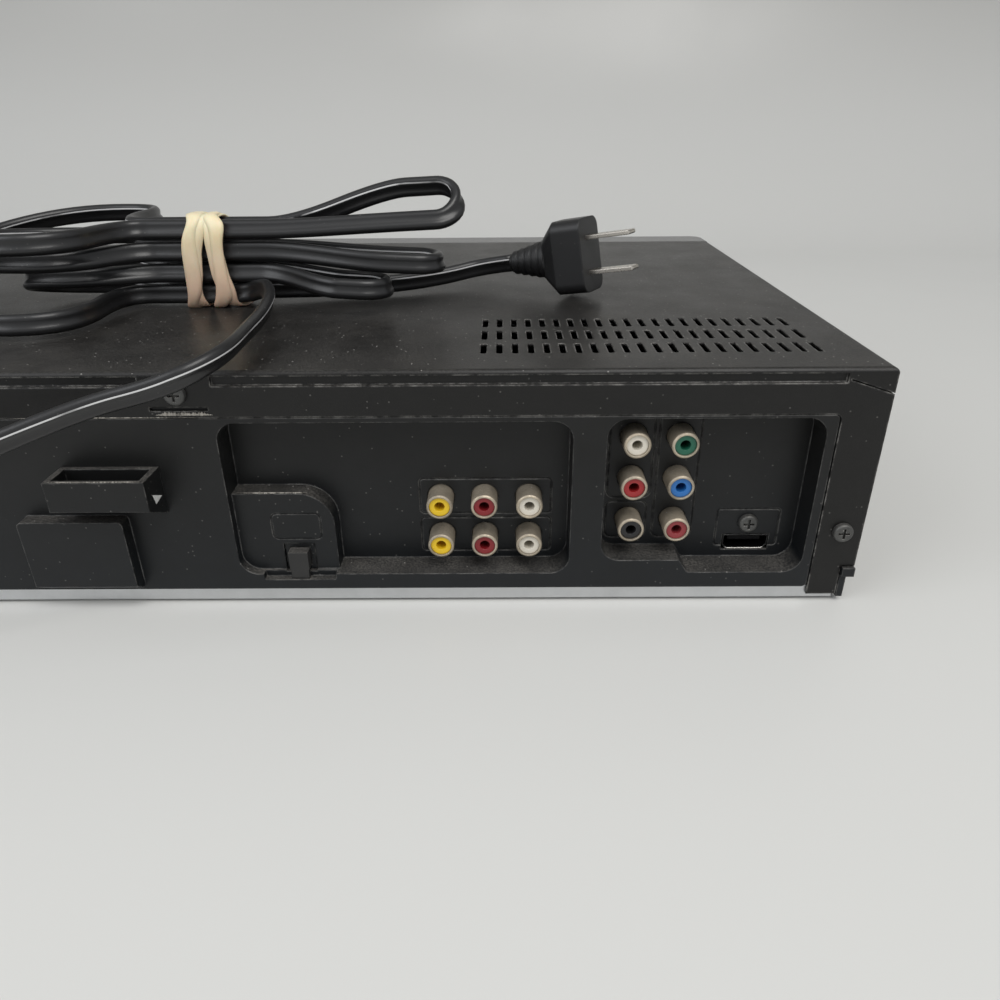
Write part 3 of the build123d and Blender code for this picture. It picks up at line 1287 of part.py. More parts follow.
def cassette_holder():
    """The cradle: a roof with two leaf springs, side walls and a ledge under each edge."""
    y0, y1 = holder_y()
    z0, z1 = up(LEDGE_Z), holder_top()
    half = HOLDER_HALF
    holder = block(DECK_X - half, DECK_X + half, y0, y1, z0, z1)
    holder -= block(DECK_X - half + HOLDER_SHEET, DECK_X + half - HOLDER_SHEET, y0 - 1.0, y1 + 1.0,
                    z0 + HOLDER_SHEET, z1 - HOLDER_SHEET)
    holder -= block(DECK_X - half + HOLDER_LEDGE, DECK_X + half - HOLDER_LEDGE, y0 - 1.0, y1 + 1.0,
                    z0 - 1.0, z0 + HOLDER_SHEET + 0.1)
    for side in (-1, 1):
        x = DECK_X + side * REEL_X
        holder -= block(x - 16.0, x + 16.0, y0 + 16.0, y1 - 16.0, z1 - 2 * HOLDER_SHEET, z1 + 1.0)
        holder += block(x - 5.0, x + 5.0, y0 + 15.0, y1 - 22.0, z1 - HOLDER_SHEET, z1 - 0.4)
        ends = sorted((DECK_X + side * (half - HOLDER_SHEET),
                       DECK_X + side * (half + HOLDER_GAP + GUIDE_SHEET)))
        holder += rod_x(drop_pin_y(), up(DROP_PIN_Z), *ends, SLIDE_PIN_RADIUS)
    return holder


def drum_base():
    return deck_top() + DRUM_STAND


def drum_lower():
    """The fixed half of the head drum on its stand, with the spindle for the upper half."""
    x, y = DECK_X, DRUM_Y
    z0 = drum_base()
    z1 = z0 + DRUM_LOWER_TALL
    stand = block(x - 26.0, x + 26.0, y - 24.0, y + 24.0, deck_top(), z0)
    drum = rod_z(x, y, z0, z1, DRUM_RADIUS)
    spindle = rod_z(x, y, z1, z1 + DRUM_GAP + DRUM_UPPER_TALL - 3.0, DRUM_SHAFT_RADIUS)
    return stand + drum + spindle


def drum_upper():
    x, y = DECK_X, DRUM_Y
    z0 = drum_base() + DRUM_LOWER_TALL + DRUM_GAP
    z1 = z0 + DRUM_UPPER_TALL
    drum = rod_z(x, y, z0, z1, DRUM_RADIUS)
    drum = fillet(drum.edges().group_by(Axis.Z)[-1], 1.0)
    drum -= ring_z(x, y, z1 - 3.0, z1 + 1.0, DRUM_RADIUS - 6.0, 9.0)
    for i in range(4):
        window = Rot(0, 0, 45 + 90 * i) * Pos(DRUM_RADIUS, 0, 1.0) * Box(3.0, 2.4, 2.2)
        drum -= Pos(x, y, z0) * window
    return drum - rod_z(x, y, z0 - 1.0, z1 - 2.8, DRUM_SHAFT_RADIUS + SHAFT_FIT)


def capstan():
    x, y = DECK_X + CAPSTAN_X, CAPSTAN_Y
    high = deck_top() - DECK_SHEET - FLYWHEEL_GAP
    wheel = rod_z(x, y, high - FLYWHEEL_TALL, high, FLYWHEEL_RADIUS)
    return wheel + rod_z(x, y, high, up(CAPSTAN_TOP_Z), CAPSTAN_RADIUS)


def pinch_arm_z():
    return deck_top() + 10.0


def pinch_tip():
    """The roller's axis at rest, one swing away from the place where it meets the capstan."""
    pivot_x, pivot_y = DECK_X + PINCH_PIVOT_X, PINCH_PIVOT_Y
    reach = pinch_reach()
    to_capstan = math.atan2(CAPSTAN_Y - pivot_y, CAPSTAN_X - PINCH_PIVOT_X)
    apart = PINCH_ROLLER_RADIUS + CAPSTAN_RADIUS + PINCH_GAP
    angle = to_capstan + 2 * math.asin(apart / (2 * reach)) + math.radians(PINCH_SWING)
    return pivot_x + reach * math.cos(angle), pivot_y + reach * math.sin(angle)


def pinch_reach():
    return math.hypot(CAPSTAN_X - PINCH_PIVOT_X, CAPSTAN_Y - PINCH_PIVOT_Y)


def pinch_arm():
    px, py = DECK_X + PINCH_PIVOT_X, PINCH_PIVOT_Y
    tx, ty = pinch_tip()
    z0 = pinch_arm_z()
    length = pinch_reach()
    angle = math.degrees(math.atan2(ty - py, tx - px))
    face = SlotCenterToCenter(length, PINCH_ARM_WIDE)
    place = Pos((px + tx) / 2, (py + ty) / 2, z0) * Rot(0, 0, angle)
    arm = extrude(place * face, PINCH_ARM_THICK)
    arm += rod_z(px, py, deck_top() + 0.3, z0 + PINCH_ARM_THICK, 3.2)
    arm += rod_z(tx, ty, z0, z0 + PINCH_ARM_THICK + PINCH_ROLLER_TALL + 1.0, SHAFT_RADIUS)
    return arm - rod_z(px, py, 0, TOP, SHAFT_RADIUS + SHAFT_FIT)


def pinch_roller():
    tx, ty = pinch_tip()
    z0 = pinch_arm_z() + PINCH_ARM_THICK + 0.3
    return ring_z(tx, ty, z0, z0 + PINCH_ROLLER_TALL, PINCH_ROLLER_RADIUS, SHAFT_RADIUS + SHAFT_FIT)


def reel(side):
    """A reel table with its splined spindle."""
    x, y = DECK_X + side * REEL_X, REEL_Y
    low = deck_top() + 0.8
    table = rod_z(x, y, low, low + REEL_TALL, REEL_RADIUS)
    spindle = rod_z(x, y, low, up(REEL_TOP_Z), REEL_SPINDLE_RADIUS)
    for i in range(6):
        fin = Rot(0, 0, 60 * i) * Pos(REEL_SPINDLE_RADIUS, 0, 0) * Box(2.6, 1.4, 10.0)
        spindle += Pos(x, y, up(REEL_TOP_Z) - 6.0) * fin
    return table + spindle - rod_z(x, y, low - 1.0, up(REEL_TOP_Z) - 3.9, SHAFT_RADIUS + SHAFT_FIT)


def guide_post(side):
    x, y = DECK_X + side * POST_START_X, POST_START_Y
    low = deck_top() + 0.3
    base = rod_z(x, y, low, low + 3.0, POST_BASE)
    foot = rod_z(x, y, deck_top() - DECK_SHEET - 1.0, low, SHAFT_RADIUS)
    post = rod_z(x, y, low + 3.0, low + POST_TALL, POST_RADIUS - 0.8)
    collar = rod_z(x, y, low + POST_TALL, low + POST_TALL + 1.6, POST_RADIUS)
    return base + foot + post + collar


def cam_gear():
    x, y = DECK_X + CAM_X, CAM_Y
    low = deck_top() + 0.4
    wheel = gear_z(x, y, low, low + CAM_TALL, CAM_RADIUS, 30)
    return wheel - rod_z(x, y, 0, TOP, SHAFT_RADIUS + SHAFT_FIT)


def deck_fittings():
    """The loading motor, and the erase head and the sound head beside the drum."""
    x, y = DECK_X + CAM_X, CAM_Y + CAM_RADIUS + 12.0
    z = deck_top() + 9.0
    motor = rod_x(y, z, x - 10.0, x + 16.0, 9.0)
    fittings = [motor + block(x - 8.0, x + 12.0, y - 5.0, y + 5.0, deck_top(), z)]
    for x, y in ((DECK_X - 58.0, 52.0), (DECK_X + 54.0, 40.0)):
        base = block(x - 4.0, x + 4.0, y - 3.0, y + 3.0, deck_top(), deck_top() + 6.0)
        head = block(x - 3.4, x + 3.4, y - 2.4, y + 2.4, deck_top() + 6.0, deck_top() + 22.0)
        fittings.append(base + head)
    return fittings


# ---------------------------------------------------------------- cord
def relief():
    """The moulded bush that holds the cord where it leaves the panel."""
    x, z = CORD_EXIT_X, up(CORD_EXIT_Z)
    outside = rod_y(x, z, REAR, REAR + RELIEF_FLANGE, RELIEF_RADIUS + 1.8)
    barrel = rod_y(x, z, PLATE_BACK - 4.0, REAR + 0.5, RELIEF_RADIUS - 0.1)
    nose = Pos(x, REAR + (RELIEF_FLANGE + RELIEF_REACH) / 2, z) * Rot(-90, 0, 0) \
        * Cone(RELIEF_RADIUS, CORD_WIDTH / 2 + 0.4, RELIEF_REACH - RELIEF_FLANGE)
    return outside + barrel + nose


def deck_point(x, v, h):
    """A point on the cord: across, in from the rear face, and above the cover."""
    return Vector(x, REAR - v, TOP + h)


def hank_row(row):
    """The height above the cover of a row of strands in the band."""
    return CORD_WIDTH / 2 + 2 * BAND_GAP + BAND_THICK + HANK_PITCH * row


def next_row(k):
    """The row in which a loop's near strand comes back to the band."""
    return (k + 1) % LEFT_LOOPS


def waist(near, row, side):
    """A strand's point at one end of the straight stretch inside the band."""
    column = HANK_PITCH / 2 if near else -HANK_PITCH / 2
    x = HANK_X + side * (BAND_WIDE / 2 + BAND_LEFT_GAP)
    return deck_point(x, HANK_V - column, hank_row(row))


def left_turn(k):
    """Stations of a loop that is open on the deck's side, from the far strand to the near one."""
    radius = LEFT_RADIUS + LEFT_RADIUS_STEP * k
    height = hank_row(k)
    end_height = hank_row(next_row(k))
    x = HANK_X + LEFT_START
    out, back, across = Vector(1, 0, 0), Vector(-1, 0, 0), Vector(0, 1, 0)
    return [(deck_point(x, HANK_V + radius, height), out),
            (deck_point(x + radius, HANK_V, (height + end_height) / 2), across),
            (deck_point(x, HANK_V - radius, end_height), back)]


def right_turn(k):
    """Stations of a folded loop on the plug's side, from the near strand to the far one."""
    centre = deck_point(RIGHT_END_X[k], RIGHT_END_V[k], RIGHT_END_H[k])
    tilt = math.radians(RIGHT_TILT[k])
    spread = Vector(0, math.cos(tilt), -math.sin(tilt))
    outward = (centre - deck_point(HANK_X, HANK_V, hank_row(k + 1))).normalized()
    outward = (outward - spread * outward.dot(spread)).normalized()
    radius = RIGHT_LOOP_RADIUS
    return [(centre + spread * radius, outward), (centre + outward * radius, spread * -1),
            (centre - spread * radius, outward * -1)]


def hank_stations():
    """Points and headings along the bundle, from the tail's end to the lead's.

    The rows climb by one in each open loop. The last and widest loop comes down outside the
    others, so that the lead leaves the band at its foot.
    """
    left, right = Vector(1, 0, 0), Vector(-1, 0, 0)
    stations = []
    for k in range(LEFT_LOOPS):
        stations += [(waist(False, k, -1), left), (waist(False, k, 1), left)]
        stations += left_turn(k)
        row = next_row(k)
        stations += [(waist(True, row, 1), right), (waist(True, row, -1), right)]
        if k < LEFT_LOOPS - 1:
            stations += right_turn(k)
    return stations


def biarc(p0, t0, p1, t1):
    """Two arcs that leave p0 along t0, meet smoothly and reach p1 along t1."""
    gap = p1 - p0
    total = t0 + t1
    turn = 2 * (1 - t0.dot(t1))
    along = gap.dot(total)
    if (gap.normalized() - t0).length < 1e-6 and (t0 - t1).length < 1e-6:
        return [Edge.make_line(p0, p1)]
    if turn < 1e-9:
        reach = gap.dot(gap) / (4 * gap.dot(t0))
    else:
        reach = (-along + math.sqrt(along * along + 2 * turn * gap.dot(gap) / 2)) / turn
    joint = (p0 + p1 + (t0 - t1) * reach) * 0.5
    heading = ((p1 - t1 * reach) - (p0 + t0 * reach)).normalized()
    return [Edge.make_tangent_arc(p0, t0, joint), Edge.make_tangent_arc(joint, heading, p1)]


def hank_path():
    stations = hank_stations()
    edges = []
    for (p0, t0), (p1, t1) in zip(stations, stations[1:]):
        edges += biarc(p0, t0, p1, t1)
    return Wire(edges)


def cord_tube(path):
    start = path.position_at(0)
    section = Plane(start, z_dir=path.tangent_at(0)) * Circle(CORD_WIDTH / 2)
    return sweep(section, path=path)


def least_gap(path):
    """The smallest space between two turns, measured on points 3 mm apart along the tube."""
    length = path.length
    count = int(length / 3.0)
    points = [path.position_at(i / count) for i in range(count + 1)]
    skip = int(3.2 * CORD_WIDTH * count / length) + 1
    gaps = [(points[i] - points[j]).length for i in range(count) for j in range(i + skip, count + 1)]
    return min(gaps) - CORD_WIDTH


def corner_radii(points):
    """Each bend's radius: 0.45 of the shorter run, over the tangent of half the turn."""
    radii = []
    for a, b, c in zip(points, points[1:], points[2:]):
        turn = (b - a).get_angle(c - b)
        shorter = min((b - a).length, (c - b).length)
        radii.append(0.45 * shorter / math.tan(math.radians(turn / 2)))
    return radii


def routed(points):
    radii = corner_radii(points)
    return FilletPolyline(*points, radius=radii), radii


def lead_points():
    """From the bush, round the case's rear and over its top edge, to the band."""
    end = waist(True, 0, -1)
    exit_x = CORD_EXIT_X
    drop = up(CORD_EXIT_Z) - TOP
    return [deck_point(exit_x, -RELIEF_REACH, drop),
            deck_point(exit_x, -RELIEF_REACH - 16.0, drop),
            deck_point(exit_x - 14.0, -RELIEF_REACH - 29.0, drop + 2.0),
            deck_point(exit_x - 42.0, -46.0, drop + 9.0),
            deck_point(102.0, -42.0, -37.0),
            deck_point(60.0, -34.0, -22.0),
            deck_point(22.0, -25.0, -8.5),
            deck_point(-6.0, -14.0, 3.5),
            deck_point(-21.0, 8.0, 8.5),
            deck_point(-32.0, 29.0, 6.5),
            deck_point(-36.4, 47.0, 4.8),
            deck_point(-35.6, 62.5, 4.4),
            deck_point(-30.0, 73.6, 4.4),
            Vector(end.X - 12.5, end.Y, end.Z),
            end]


def plug_axis():
    yaw, pitch = math.radians(PLUG_YAW), math.radians(PLUG_PITCH)
    flat = math.cos(pitch)
    return Vector(-flat * math.cos(yaw), flat * math.sin(yaw), math.sin(pitch))


def plug_plane():
    """On the plug's front face, with its Z the way that the blades point."""
    axis = plug_axis()
    level = Vector(0, 0, 1).cross(axis).normalized()
    return Plane(origin=deck_point(*PLUG_FACE), x_dir=level, z_dir=axis)


def tail_points():
    """From the band to the plug's neck."""
    start = waist(False, 0, -1)
    entry = deck_point(*PLUG_FACE) - plug_axis() * (PLUG_HEAD[0] + PLUG_NECK)
    before = entry - plug_axis() * 14.0
    return [entry, before, deck_point(-78.0, 108.0, 5.2), deck_point(-58.0, 98.0, 4.4),
            deck_point(-36.0, 92.0, 4.4), Vector(start.X - 9.0, start.Y, start.Z), start]


def rubber_band():
    """The band round the bundle's waist: three flat wraps side by side, the middle one proud."""
    inner_y = HANK_PITCH + CORD_WIDTH + 2 * BAND_GAP
    inner_z = HANK_PITCH * (LEFT_LOOPS - 1) + CORD_WIDTH + 2 * BAND_GAP
    middle = deck_point(HANK_X, HANK_V, hank_row((LEFT_LOOPS - 1) / 2))
    corner = CORD_WIDTH / 2 + BAND_GAP
    bore = RectangleRounded(inner_y, inner_z, corner)
    band = None
    wraps = ((-1, 0.0), (0, 0.9), (1, 0.3))
    for index, proud in wraps:
        grow = BAND_THICK + proud
        outer = RectangleRounded(inner_y + 2 * grow, inner_z + 2 * BAND_THICK, corner + BAND_THICK)
        wide = BAND_WIDE / 3
        plane = Plane(middle + Vector(index * wide, 0, 0), x_dir=(0, 1, 0), z_dir=(1, 0, 0))
        ring = extrude(plane * (outer - bore), wide / 2, both=True)
        band = ring if band is None else band + ring
    return band


def plug_body():
    deep, wide, tall = PLUG_HEAD
    plane = plug_plane()
    head = extrude(plane * RectangleRounded(wide, tall, 4.0), -deep)
    shoulder = loft([plane.offset(-deep) * RectangleRounded(wide, tall, 4.0),
                     plane.offset(-deep - 5.0) * RectangleRounded(wide * 0.8, tall * 0.6, 3.0)])
    plug = head + shoulder
    wide_end, thin_end = PLUG_NECK_RADII
    step = (PLUG_NECK - 5.0) / PLUG_RIBS
    for i in range(PLUG_RIBS):
        radius = wide_end + (thin_end - wide_end) * i / (PLUG_RIBS - 1)
        start = -deep - 5.0 - step * i
        plug += extrude(plane.offset(start) * Circle(radius), -step * 0.6)
        plug += extrude(plane.offset(start) * Circle(radius - 0.9), -step)
    return plug


def plug_blades():
    plane = plug_plane()
    blades = []
    for side in (-1, 1):
        place = Pos(0, side * BLADE_SPACING / 2)
        blade = extrude(plane * place * Rectangle(BLADE_WIDE, BLADE_THICK), BLADE_LENGTH)
        tip = blade.faces().sort_by(Axis(plane.origin, plane.z_dir))[-1]
        blades.append(chamfer(tip.edges(), 0.5))
    return blades


# ---------------------------------------------------------------- files
def write(name, shape):
    if isinstance(shape, list):
        solids = [solid for piece in shape for solid in piece.solids()]
        shape = Compound(children=solids)
    export_step(shape, "parts/" + name + ".step")


def main():
    os.makedirs("parts", exist_ok=True)
    case = (bottom_plate, feet, top_cover, case_screws, rear_panel, cord_hook, chassis_frame)
    sockets = (rca_shells, rca_inserts, jack_housings, hdmi_socket, optical_socket, optical_cap,
               rf_module)
    boards = (main_board, digital_board, power_board, power_parts, key_board)
    front = (front_bezel, cassette_flap, display_window)
    drive = (loader_frame, disc_tray, tray_gear, tray_motor, tray_belt, traverse_frame, turntable,
             pickup_sled, clamp_bridge, clamp_puck)
    deck = (deck_plate, carriage_slider, cassette_holder, drum_lower, drum_upper, capstan,
            pinch_arm, pinch_roller, cam_gear, deck_fittings)
    plug = (rubber_band, plug_body, plug_blades)
    for make in case + sockets + boards + front + drive + deck + plug:
        write(make.__name__, make())
    for name, x in zip(BUTTON_NAMES, BUTTON_X):
        write("button_" + name, button(x))
    for name, side in (("supply", -1), ("takeup", 1)):
        write("reel_" + name, reel(side))
    for name, side in (("left", -1), ("right", 1)):
        write("guide_post_" + name, guide_post(side))
    write("strain_relief", relief())

    hank = hank_path()
    lead, lead_radii = routed(lead_points())
    tail, tail_radii = routed(tail_points())
    tubes = (("cord_hank", hank), ("cord_lead", lead), ("cord_tail", tail))
    section = math.pi * CORD_WIDTH ** 2 / 4
    for name, path in tubes:
        tube = cord_tube(path)
        write(name, tube)
        print(name, "length", round(path.length, 1), "volume ratio",
              round(tube.volume / (section * path.length), 5))
    print("lead radii", [round(radius, 1) for radius in lead_radii])
    print("tail radii", [round(radius, 1) for radius in tail_radii])
    arcs = [edge.radius for edge in hank.edges() if edge.geom_type == GeomType.CIRCLE]
    print("hank: tightest arc", round(min(arcs), 2), "least gap to itself", round(least_gap(hank), 2))


if __name__ == "__main__":
    main()
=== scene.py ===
"""Finishes, free cord and studio for a disc and cassette player seen from its rear."""

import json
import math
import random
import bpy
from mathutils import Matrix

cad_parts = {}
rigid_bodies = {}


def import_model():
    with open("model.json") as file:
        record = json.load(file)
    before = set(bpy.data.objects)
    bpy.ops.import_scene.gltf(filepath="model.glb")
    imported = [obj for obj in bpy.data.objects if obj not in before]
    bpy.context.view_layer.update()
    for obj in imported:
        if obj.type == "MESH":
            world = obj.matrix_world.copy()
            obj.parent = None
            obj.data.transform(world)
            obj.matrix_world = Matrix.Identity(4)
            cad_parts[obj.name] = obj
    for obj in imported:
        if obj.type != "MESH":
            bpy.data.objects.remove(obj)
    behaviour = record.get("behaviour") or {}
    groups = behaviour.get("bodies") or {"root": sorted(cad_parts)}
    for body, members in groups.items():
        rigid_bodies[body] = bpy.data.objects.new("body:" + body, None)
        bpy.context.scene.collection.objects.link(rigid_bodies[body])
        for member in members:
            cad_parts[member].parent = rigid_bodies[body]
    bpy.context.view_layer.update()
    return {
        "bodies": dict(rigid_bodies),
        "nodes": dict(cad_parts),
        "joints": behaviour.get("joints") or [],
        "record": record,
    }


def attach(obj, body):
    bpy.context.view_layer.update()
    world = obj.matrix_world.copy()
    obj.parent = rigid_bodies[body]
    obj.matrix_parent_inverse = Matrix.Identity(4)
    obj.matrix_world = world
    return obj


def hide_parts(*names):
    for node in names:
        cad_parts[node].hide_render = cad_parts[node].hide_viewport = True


bl_info = {
    "name": "Combination player",
    "version": (1, 0, 0),
    "blender": (4, 5, 0),
    "location": "View3D > Sidebar > Player",
    "description": "Finishes, cord, band and studio of a cassette and disc player",
    "category": "Object",
}

import bpy
from mathutils import Matrix, Vector

MM = 0.001

# Places and sizes in millimetres, as in the solid model.
EDGE = 215.0
REAR = 116.5
TOP = 79.2
BASE = 1.2
FLOOR_FACE = 106.1
CORD_WIDTH = 7.0

# The hook's open side, and the height up to which the flat socket's sleeve has a painted highlight.
HOOK_FACE_X = 1.5
SLEEVE_HIGHLIGHT_Z = 14.7

# The cord's way out and its bundle on the cover, in millimetres. Each fold has its middle, as
# on_cover takes it, and its tilt in degrees.
HANK_X = 5.0
HANK_V = 84.0
HANK_PITCH = 7.6
FIRST_ROW = 5.0
LEFT_LOOPS = 4
LEFT_START = 54.0
LEFT_RADIUS = 14.0
LEFT_RADIUS_STEP = 12.0
WAIST = 12.0
FOLD_RADIUS = 8.0
FOLDS = (((-53.0, 72.0, 9.4), 0.0), ((-71.5, 80.0, 16.6), 0.0), ((-78.5, 85.0, 35.9), 40.0))
CORD_EXIT = (185.0, 128.5, 23.2)

# The cord's pale stripe: its middle and half its width, as shares of the way round the cord.
STRIPE_PLACE = 0.345
STRIPE_HALF = 0.015

# The studio, in metres, with the camera's turns in degrees and its lens in millimetres.
STAGE_REACH = 3.0
WALL_FOOT_Y = -0.55
WALL_BEND = 0.35
# The wall's grey, darker than the table: painted shade standing in for the lamps' falloff.
SHADED_BACKDROP = (0.33, 0.325, 0.31, 1.0)
CAMERA_PITCH, CAMERA_YAW, CAMERA_ROLL = 27.047, -0.334, -0.438
CAMERA_PLACE = (-0.10254, 0.32753, 0.14564)
CAMERA_LENS = 27.725


# ---------------------------------------------------------------- settings
class PlayerCordSettings(bpy.types.PropertyGroup):
    width: bpy.props.FloatProperty(name="Width", default=7.0, min=4.0, max=10.0)
    roll: bpy.props.FloatProperty(name="Roll", default=72.0, min=0.0, max=90.0)
    length: bpy.props.FloatProperty(name="Length", default=1.93, min=0.5, max=3.0)


class PlayerDustSettings(bpy.types.PropertyGroup):
    amount: bpy.props.FloatProperty(name="Dust", default=1.0, min=0.0, max=2.0)
    # Strength of the paler rubbed edges, which are partly a painted edge highlight.
    wear_and_highlight: bpy.props.FloatProperty(name="Wear and highlight", default=1.0, min=0.0, max=2.0)


class PlayerStudioSettings(bpy.types.PropertyGroup):
    world: bpy.props.FloatProperty(name="Ambient", default=0.58, min=0.0, max=3.0)
    key: bpy.props.FloatProperty(name="Key lamp", default=19.0, min=0.0, max=200.0)


# ---------------------------------------------------------------- shader trees
class Graph:
    """Makes the nodes of one shader tree and joins them."""

    def __init__(self, tree):
        self.tree = tree
        self.count = 0

    def node(self, kind, values=None, **settings):
        node = self.tree.nodes.new(kind)
        node.location = (self.count % 10 * 200 - 2200, -(self.count // 10) * 340)
        self.count += 1
        for key, value in settings.items():
            setattr(node, key, value)
        for key, value in (values or {}).items():
            self.feed(node.inputs[key], value)
        return node

    def feed(self, socket, value):
        if isinstance(value, bpy.types.NodeSocket):
            self.tree.links.new(value, socket)
        else:
            socket.default_value = value

    def math(self, operation, *values, clamp=False):
        node = self.node("ShaderNodeMath", dict(enumerate(values)), operation=operation)
        node.use_clamp = clamp
        return node.outputs[0]

    def mix(self, factor, a, b, blend="MIX"):
        values = {0: factor, 6: a, 7: b}
        return self.node("ShaderNodeMix", values, data_type="RGBA", blend_type=blend).outputs[2]

    def span(self, value, low, high, to_low=0.0, to_high=1.0):
        values = {0: value, 1: low, 2: high, 3: to_low, 4: to_high}
        return self.node("ShaderNodeMapRange", values, clamp=True).outputs[0]

    def noise(self, scale, detail=2.0, roughness=0.5):
        values = {"Scale": scale, "Detail": detail, "Roughness": roughness, "Vector": self.place()}
        return self.node("ShaderNodeTexNoise", values).outputs["Fac"]

    def place(self):
        return self.node("ShaderNodeTexCoord").outputs["Object"]

    def axes(self, vector):
        return self.node("ShaderNodeSeparateXYZ", {0: vector}).outputs

    def group(self, name, values=None):
        node = self.node("ShaderNodeGroup", node_tree=bpy.data.node_groups[name])
        for key, value in (values or {}).items():
            self.feed(node.inputs[key], value)
        return node.outputs


def new_group(name, inputs, outputs):
    """An empty node group with float inputs by their defaults, and outputs by their types."""
    tree = bpy.data.node_groups.new(name, "ShaderNodeTree")
    for key, default in inputs.items():
        socket = tree.interface.new_socket(name=key, in_out="INPUT", socket_type="NodeSocketFloat")
        socket.default_value = default
    for key, kind in outputs.items():
        tree.interface.new_socket(name=key, in_out="OUTPUT", socket_type="NodeSocket" + kind)
    graph = Graph(tree)
    entry = graph.node("NodeGroupInput").outputs
    close = graph.node("NodeGroupOutput").inputs
    return graph, entry, close


def make_grain_group():
    """Moulded or sprayed grain: a fine bump, and a roughness that drifts over the surface."""
    inputs = {"Scale": 2000.0, "Height": 0.00003, "Rough": 0.5, "Spread": 0.1}
    graph, entry, close = new_group("Grain", inputs, {"Roughness": "Float", "Normal": "Vector"})
    fine = graph.noise(entry["Scale"], 3.0, 0.6)
    drift = graph.math("SUBTRACT", graph.noise(38.0, 4.0, 0.6), 0.5)
    rough = graph.math("MULTIPLY_ADD", drift, entry["Spread"], entry["Rough"])
    flecks = graph.math("MULTIPLY", graph.math("SUBTRACT", fine, 0.5), entry["Spread"])
    graph.feed(close["Roughness"], graph.math("ADD", rough, flecks, clamp=True))
    values = {"Strength": 1.0, "Distance": entry["Height"], "Height": fine}
    bump = graph.node("ShaderNodeBump", values)
    graph.feed(close["Normal"], bump.outputs["Normal"])


def make_dust_group():
    """Dust on faces that look up: a thin film, clouds of it and single pale specks."""
    graph, entry, close = new_group("Settled Dust", {"Amount": 1.0, "Specks": 1.0},
                                    {"Film": "Float", "Specks": "Float"})
    normal = graph.node("ShaderNodeNewGeometry").outputs["Normal"]
    upward = graph.span(graph.axes(normal)["Z"], 0.25, 0.95)
    cloud = graph.span(graph.noise(55.0, 5.0, 0.65), 0.36, 0.75)
    grit = graph.span(graph.noise(1500.0, 2.0, 0.6), 0.40, 0.62, 0.35, 1.25)
    film = graph.math("MULTIPLY", graph.math("MULTIPLY_ADD", cloud, 0.75, 0.25), entry["Amount"])
    film = graph.math("MULTIPLY", film, grit)
    graph.feed(close["Film"], graph.math("MULTIPLY", film, upward, clamp=True))
    values = {"Scale": 620.0, "Randomness": 1.0, "Vector": graph.place()}
    cells = graph.node("ShaderNodeTexVoronoi", values)
    dot = graph.math("LESS_THAN", cells.outputs["Distance"], 0.16)
    chosen = graph.math("GREATER_THAN", graph.axes(cells.outputs["Color"])["X"], 0.86)
    spots = graph.math("MULTIPLY", graph.math("MULTIPLY", dot, chosen), entry["Specks"])
    share = graph.math("MULTIPLY_ADD", upward, 0.75, 0.25)
    graph.feed(close["Specks"], graph.math("MULTIPLY", spots, share, clamp=True))


def make_wear_and_highlight_group():
    """Rubbed edges, partly a painted edge highlight, and a normal that rounds them."""
    graph, entry, close = new_group("Worn And Highlit Edges", {"Radius": 0.0006, "Amount": 1.0},
                                    {"Mask": "Float", "Normal": "Vector"})
    bevel = graph.node("ShaderNodeBevel", {"Radius": entry["Radius"]}, samples=6)
    normal = graph.node("ShaderNodeNewGeometry").outputs["True Normal"]
    vectors = {0: bevel.outputs[0], 1: normal}
    dot = graph.node("ShaderNodeVectorMath", vectors, operation="DOT_PRODUCT")
    turned = graph.span(dot.outputs["Value"], 0.97, 0.80)
    patches = graph.span(graph.noise(260.0, 4.0, 0.7), 0.42, 0.62)
    mask = graph.math("MULTIPLY", graph.math("MULTIPLY", turned, patches), entry["Amount"])
    graph.feed(close["Mask"], graph.math("MINIMUM", mask, 1.0))
    graph.feed(close["Normal"], bevel.outputs[0])


def make_place_group():
    """One inside a box in X and Z round a centre, in metres."""
    inputs = {"X": 0.0, "Half X": 0.005, "Z": 0.0, "Half Z": 0.005}
    graph, entry, close = new_group("Place", inputs, {"Mask": "Float"})
    place = graph.axes(graph.place())
    masks = []
    for axis, half in (("X", "Half X"), ("Z", "Half Z")):
        away = graph.math("ABSOLUTE", graph.math("SUBTRACT", place[axis], entry[axis]))
        masks.append(graph.math("LESS_THAN", away, entry[half]))
    graph.feed(close["Mask"], graph.math("MULTIPLY", *masks))


def make_groups():
    make_grain_group()
    make_dust_group()
    make_wear_and_highlight_group()
    make_place_group()


# ---------------------------------------------------------------- finishes
DUST = (0.23, 0.215, 0.195, 1.0)


